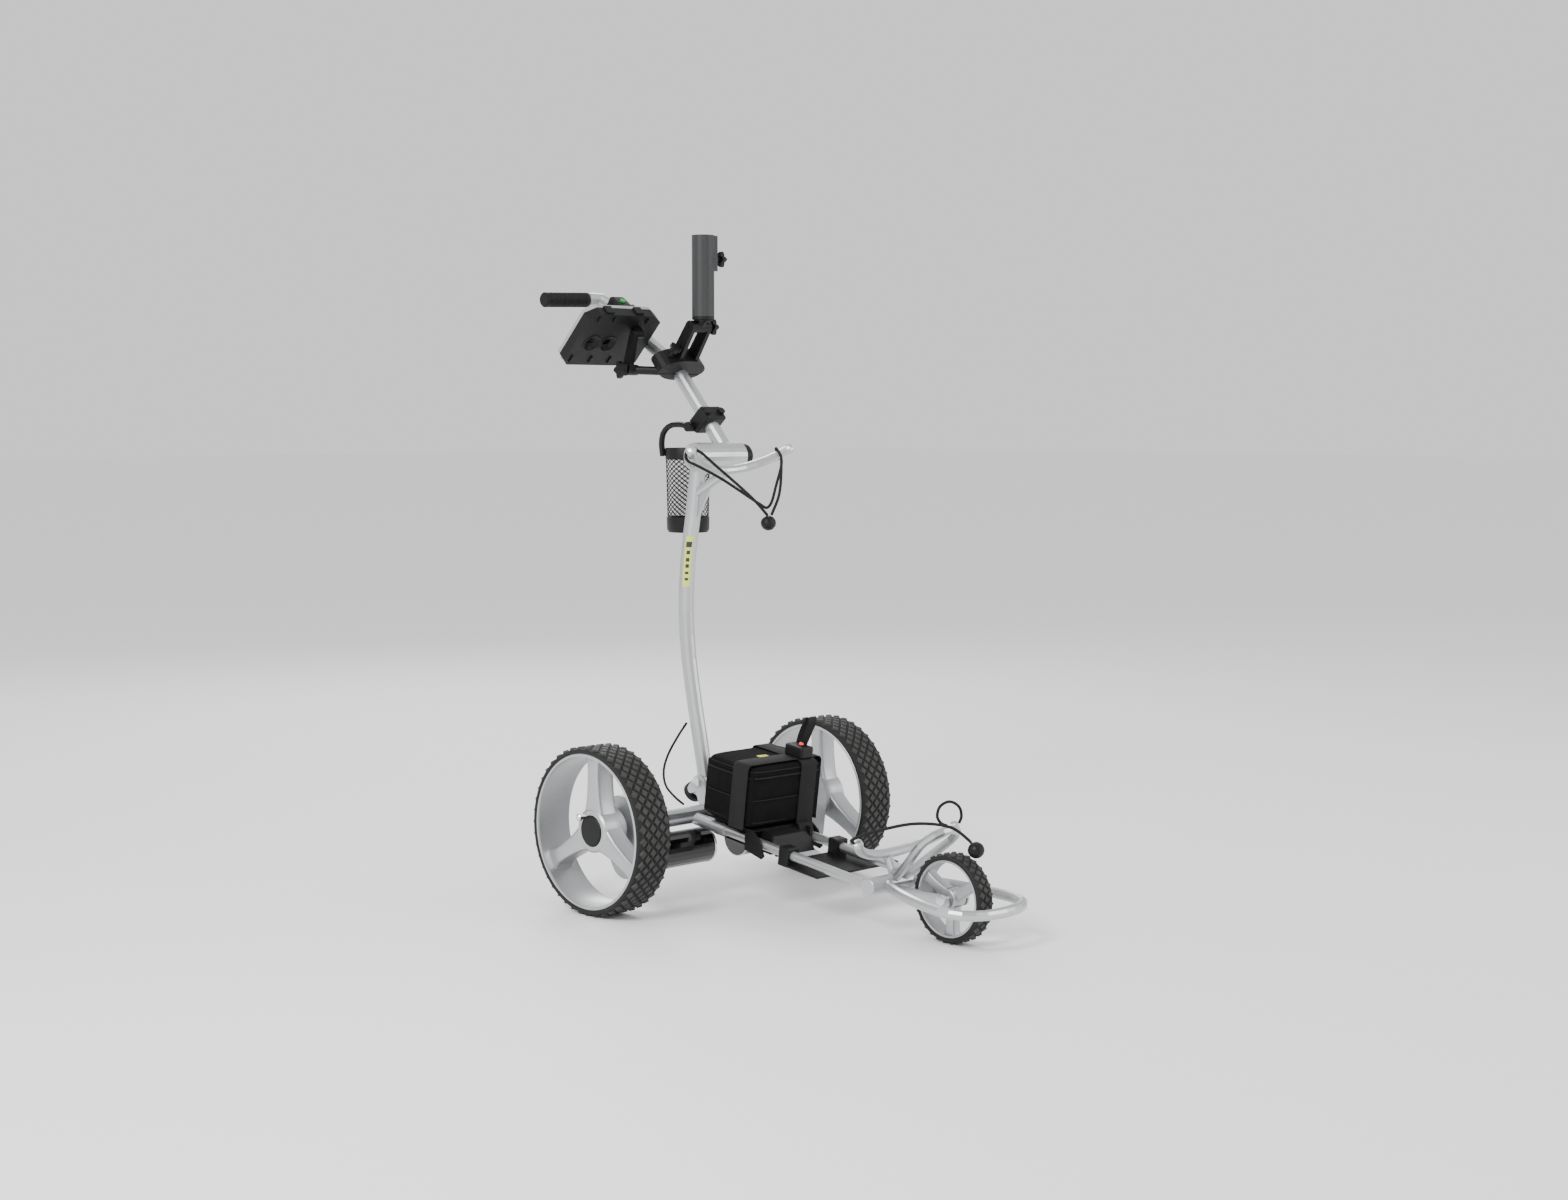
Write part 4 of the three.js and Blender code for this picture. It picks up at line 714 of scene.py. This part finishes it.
# ---------- grip ----------
# A black rubber sleeve pushed over the end of the handle tube, with close ribs and a domed end.
# The same rubber covers the control cable.
grip_rubber = Finish("grip_rubber", (0.006, 0.006, 0.006), 0.62, Specular_IOR_Level=0.25)
grip_rubber.rough(grip_rubber.noise(120.0), 0.52, 0.7).bump(grip_rubber.noise(900.0), 0.0001)
grip_from = Vector((-0.404 + axle_to_frame, 0.036, 1.0735))
grip_to = Vector((-0.404 + axle_to_frame, -0.066, 1.0704))
grip_steps, grip_ribs = 170, 22
path = [grip_from.lerp(grip_to, i / grip_steps) for i in range(grip_steps + 1)]


def grip_radius(share):
    """Plain collars at both ends and ribs between them."""
    if share < 0.05 or share > 0.93:
        return 0.0140 if share < 0.985 else 0.0125
    return 0.0132 + 0.0008 * math.cos(share * 2 * math.pi * grip_ribs) ** 3


sleeve = tube_mesh("grip_sleeve", path, grip_radius, 40, 0.02)
piece("grip_sleeve", sleeve, grip_rubber.material, "handle", "handle_grip")
dress(grip_rubber, "control_cable")

# ---------- moulded fittings ----------
# Clamps, knobs, link, console and umbrella holder are glass-filled nylon with a fine moulded grain.
# The umbrella tube and the dial are charcoal, the console's lid light grey and the on-off button green.
dress(moulded, "clamp_front_half", "clamp_rear_half", "clamp_knob", "console_link", "console_knob",
      "console_tray", "umbrella_foot", "umbrella_knob", "umbrella_tilt_knob", "hinge_knob", "lower_lock_knob",
      "control_pod", "upper_bungee_ball", "lower_bungee_ball")
charcoal = Finish("charcoal_tube", (0.030, 0.031, 0.032), 0.45, Specular_IOR_Level=0.3)
charcoal.rough(charcoal.noise(40.0), 0.38, 0.52).bump(charcoal.cells(1200.0), 0.0001, 0.4)
dress(charcoal, "umbrella_tube", "speed_dial")
lid_grey = Finish("console_lid_grey", (0.30, 0.31, 0.32), 0.32)
lid_grey.tint(lid_grey.noise(60.0), (0.26, 0.27, 0.28), (0.36, 0.37, 0.38))
lid_grey.bump(lid_grey.cells(900.0), 0.0001, 0.4)
dress(lid_grey, "console_lid")
green = Finish("green_button", (0.02, 0.30, 0.05), 0.3)
green.rough(green.noise(40.0), 0.22, 0.38)
dress(green, "power_button")

# ---------- console underside ----------
# Raised rims round the two ball recesses, stiffening ribs along the edges and two lid latches.
# All of it is moulded in one with the tray, and shows from the front because the console tilts back.
tray_at = Vector((-0.249 + axle_to_frame, -0.033, 0.998))
tray_tilt = math.radians(45)


def on_tray(x, y, z):
    """Millimetres on the console tray to the trolley's frame."""
    c, s = math.cos(tray_tilt), math.sin(tray_tilt)
    return tray_at + Vector((x * c - z * s, y, x * s + z * c)) / 1000


def tray_ring(name, x, y, z, radius, thick):
    """A raised round rim on the tray."""
    turns = [2 * math.pi * k / 48 for k in range(49)]
    around = [on_tray(x + radius * math.cos(turn), y + radius * math.sin(turn), z) for turn in turns]
    return tube_mesh(name, around, thick, 10)


def tray_bar(name, x0, x1, y0, y1, z0, z1, soften=1.2):
    """A small moulded bar with softened edges on the tray."""
    bm = bmesh.new()
    bmesh.ops.create_cube(bm, size=1)
    for vert in bm.verts:
        vert.co = Vector(((x0 + x1) / 2 + vert.co.x * (x1 - x0), (y0 + y1) / 2 + vert.co.y * (y1 - y0),
                          (z0 + z1) / 2 + vert.co.z * (z1 - z0)))
    bmesh.ops.bevel(bm, geom=bm.edges[:], offset=soften, segments=3, profile=0.5, affect="EDGES")
    for vert in bm.verts:
        vert.co = on_tray(*vert.co)
    mesh = bpy.data.meshes.new(name)
    bm.to_mesh(mesh)
    bm.free()
    return mesh


rims = [tray_ring("recess_rim", -8, y, -9.4, 17.6, 0.0016) for y in (-46, -8)]
bars = [tray_bar("rib", -56, -40, y - 2, y + 2, -12.5, -9.0) for y in (-72, -27, 18, 62)]
bars += [tray_bar("rib", 44, 56, y - 2, y + 2, -12.5, -9.0) for y in (-62, -27, 52)]
latches = [tray_bar("latch", 61.5, 66.0, y - 9, y + 9, -6, 12, 1.5) for y in (-40, 30)]
underside = merged("console_underside", *rims, *bars, *latches)
piece("console_underside", underside, moulded.material, "console")

# ---------- plain label on the upright ----------
# A printed film label wrapped round the front of the tube and stuck down.
# It has a yellow-green field and plain black bars, with nothing written on it.
film = Finish("label_yellow", (0.62, 0.72, 0.10), 0.35)
film.rough(film.noise(60.0), 0.3, 0.45)
film_dark = Finish("label_black", (0.02, 0.02, 0.02), 0.35)
film_dark.rough(film_dark.noise(60.0), 0.3, 0.45)
field_r, print_r = 0.01415, 0.0144
upright_line = spline([(-60, 0, 341), (-76, 0, 431), (-81, 0, 503), (-79, 0, 558), (-73, 0, 612),
                       (-64, 0, 660)], 120)


def label(name, low, high, from_angle, to_angle, finish, radius):
    """A patch of film on the upright between two heights and two angles round it."""
    film_thick = 0.0002
    line = [p for p in upright_line if low <= p.z <= high]
    verts = []
    faces = []
    steps = 14
    for point in line:
        for k in range(steps + 1):
            turn = math.radians(from_angle + (to_angle - from_angle) * k / steps)
            for r in (radius, radius + film_thick):
                verts.append(point + Vector((r * math.cos(turn), r * math.sin(turn), 0)))
    row = 2 * (steps + 1)
    for i in range(len(line) - 1):
        for k in range(steps):
            a = i * row + 2 * k
            faces.append((a + 1, a + 3, a + row + 3, a + row + 1))
            faces.append((a, a + row, a + row + 2, a + 2))
        for edge in (0, 2 * steps):
            a = i * row + edge
            faces.append((a, a + 1, a + row + 1, a + row))
    for end in (0, (len(line) - 1) * row):
        for k in range(steps):
            a = end + 2 * k
            faces.append((a, a + 2, a + 3, a + 1))
    piece(name, mesh_from(name, verts, faces), finish.material, "upright")


label("label_field", 0.545, 0.640, -72, -18, film, field_r)
label("label_stripe_high", 0.618, 0.630, -66, -24, film_dark, print_r)
for i in range(5):
    label(f"label_dash_{i}", 0.556 + 0.012 * i, 0.564 + 0.012 * i, -58, -32, film_dark, print_r)
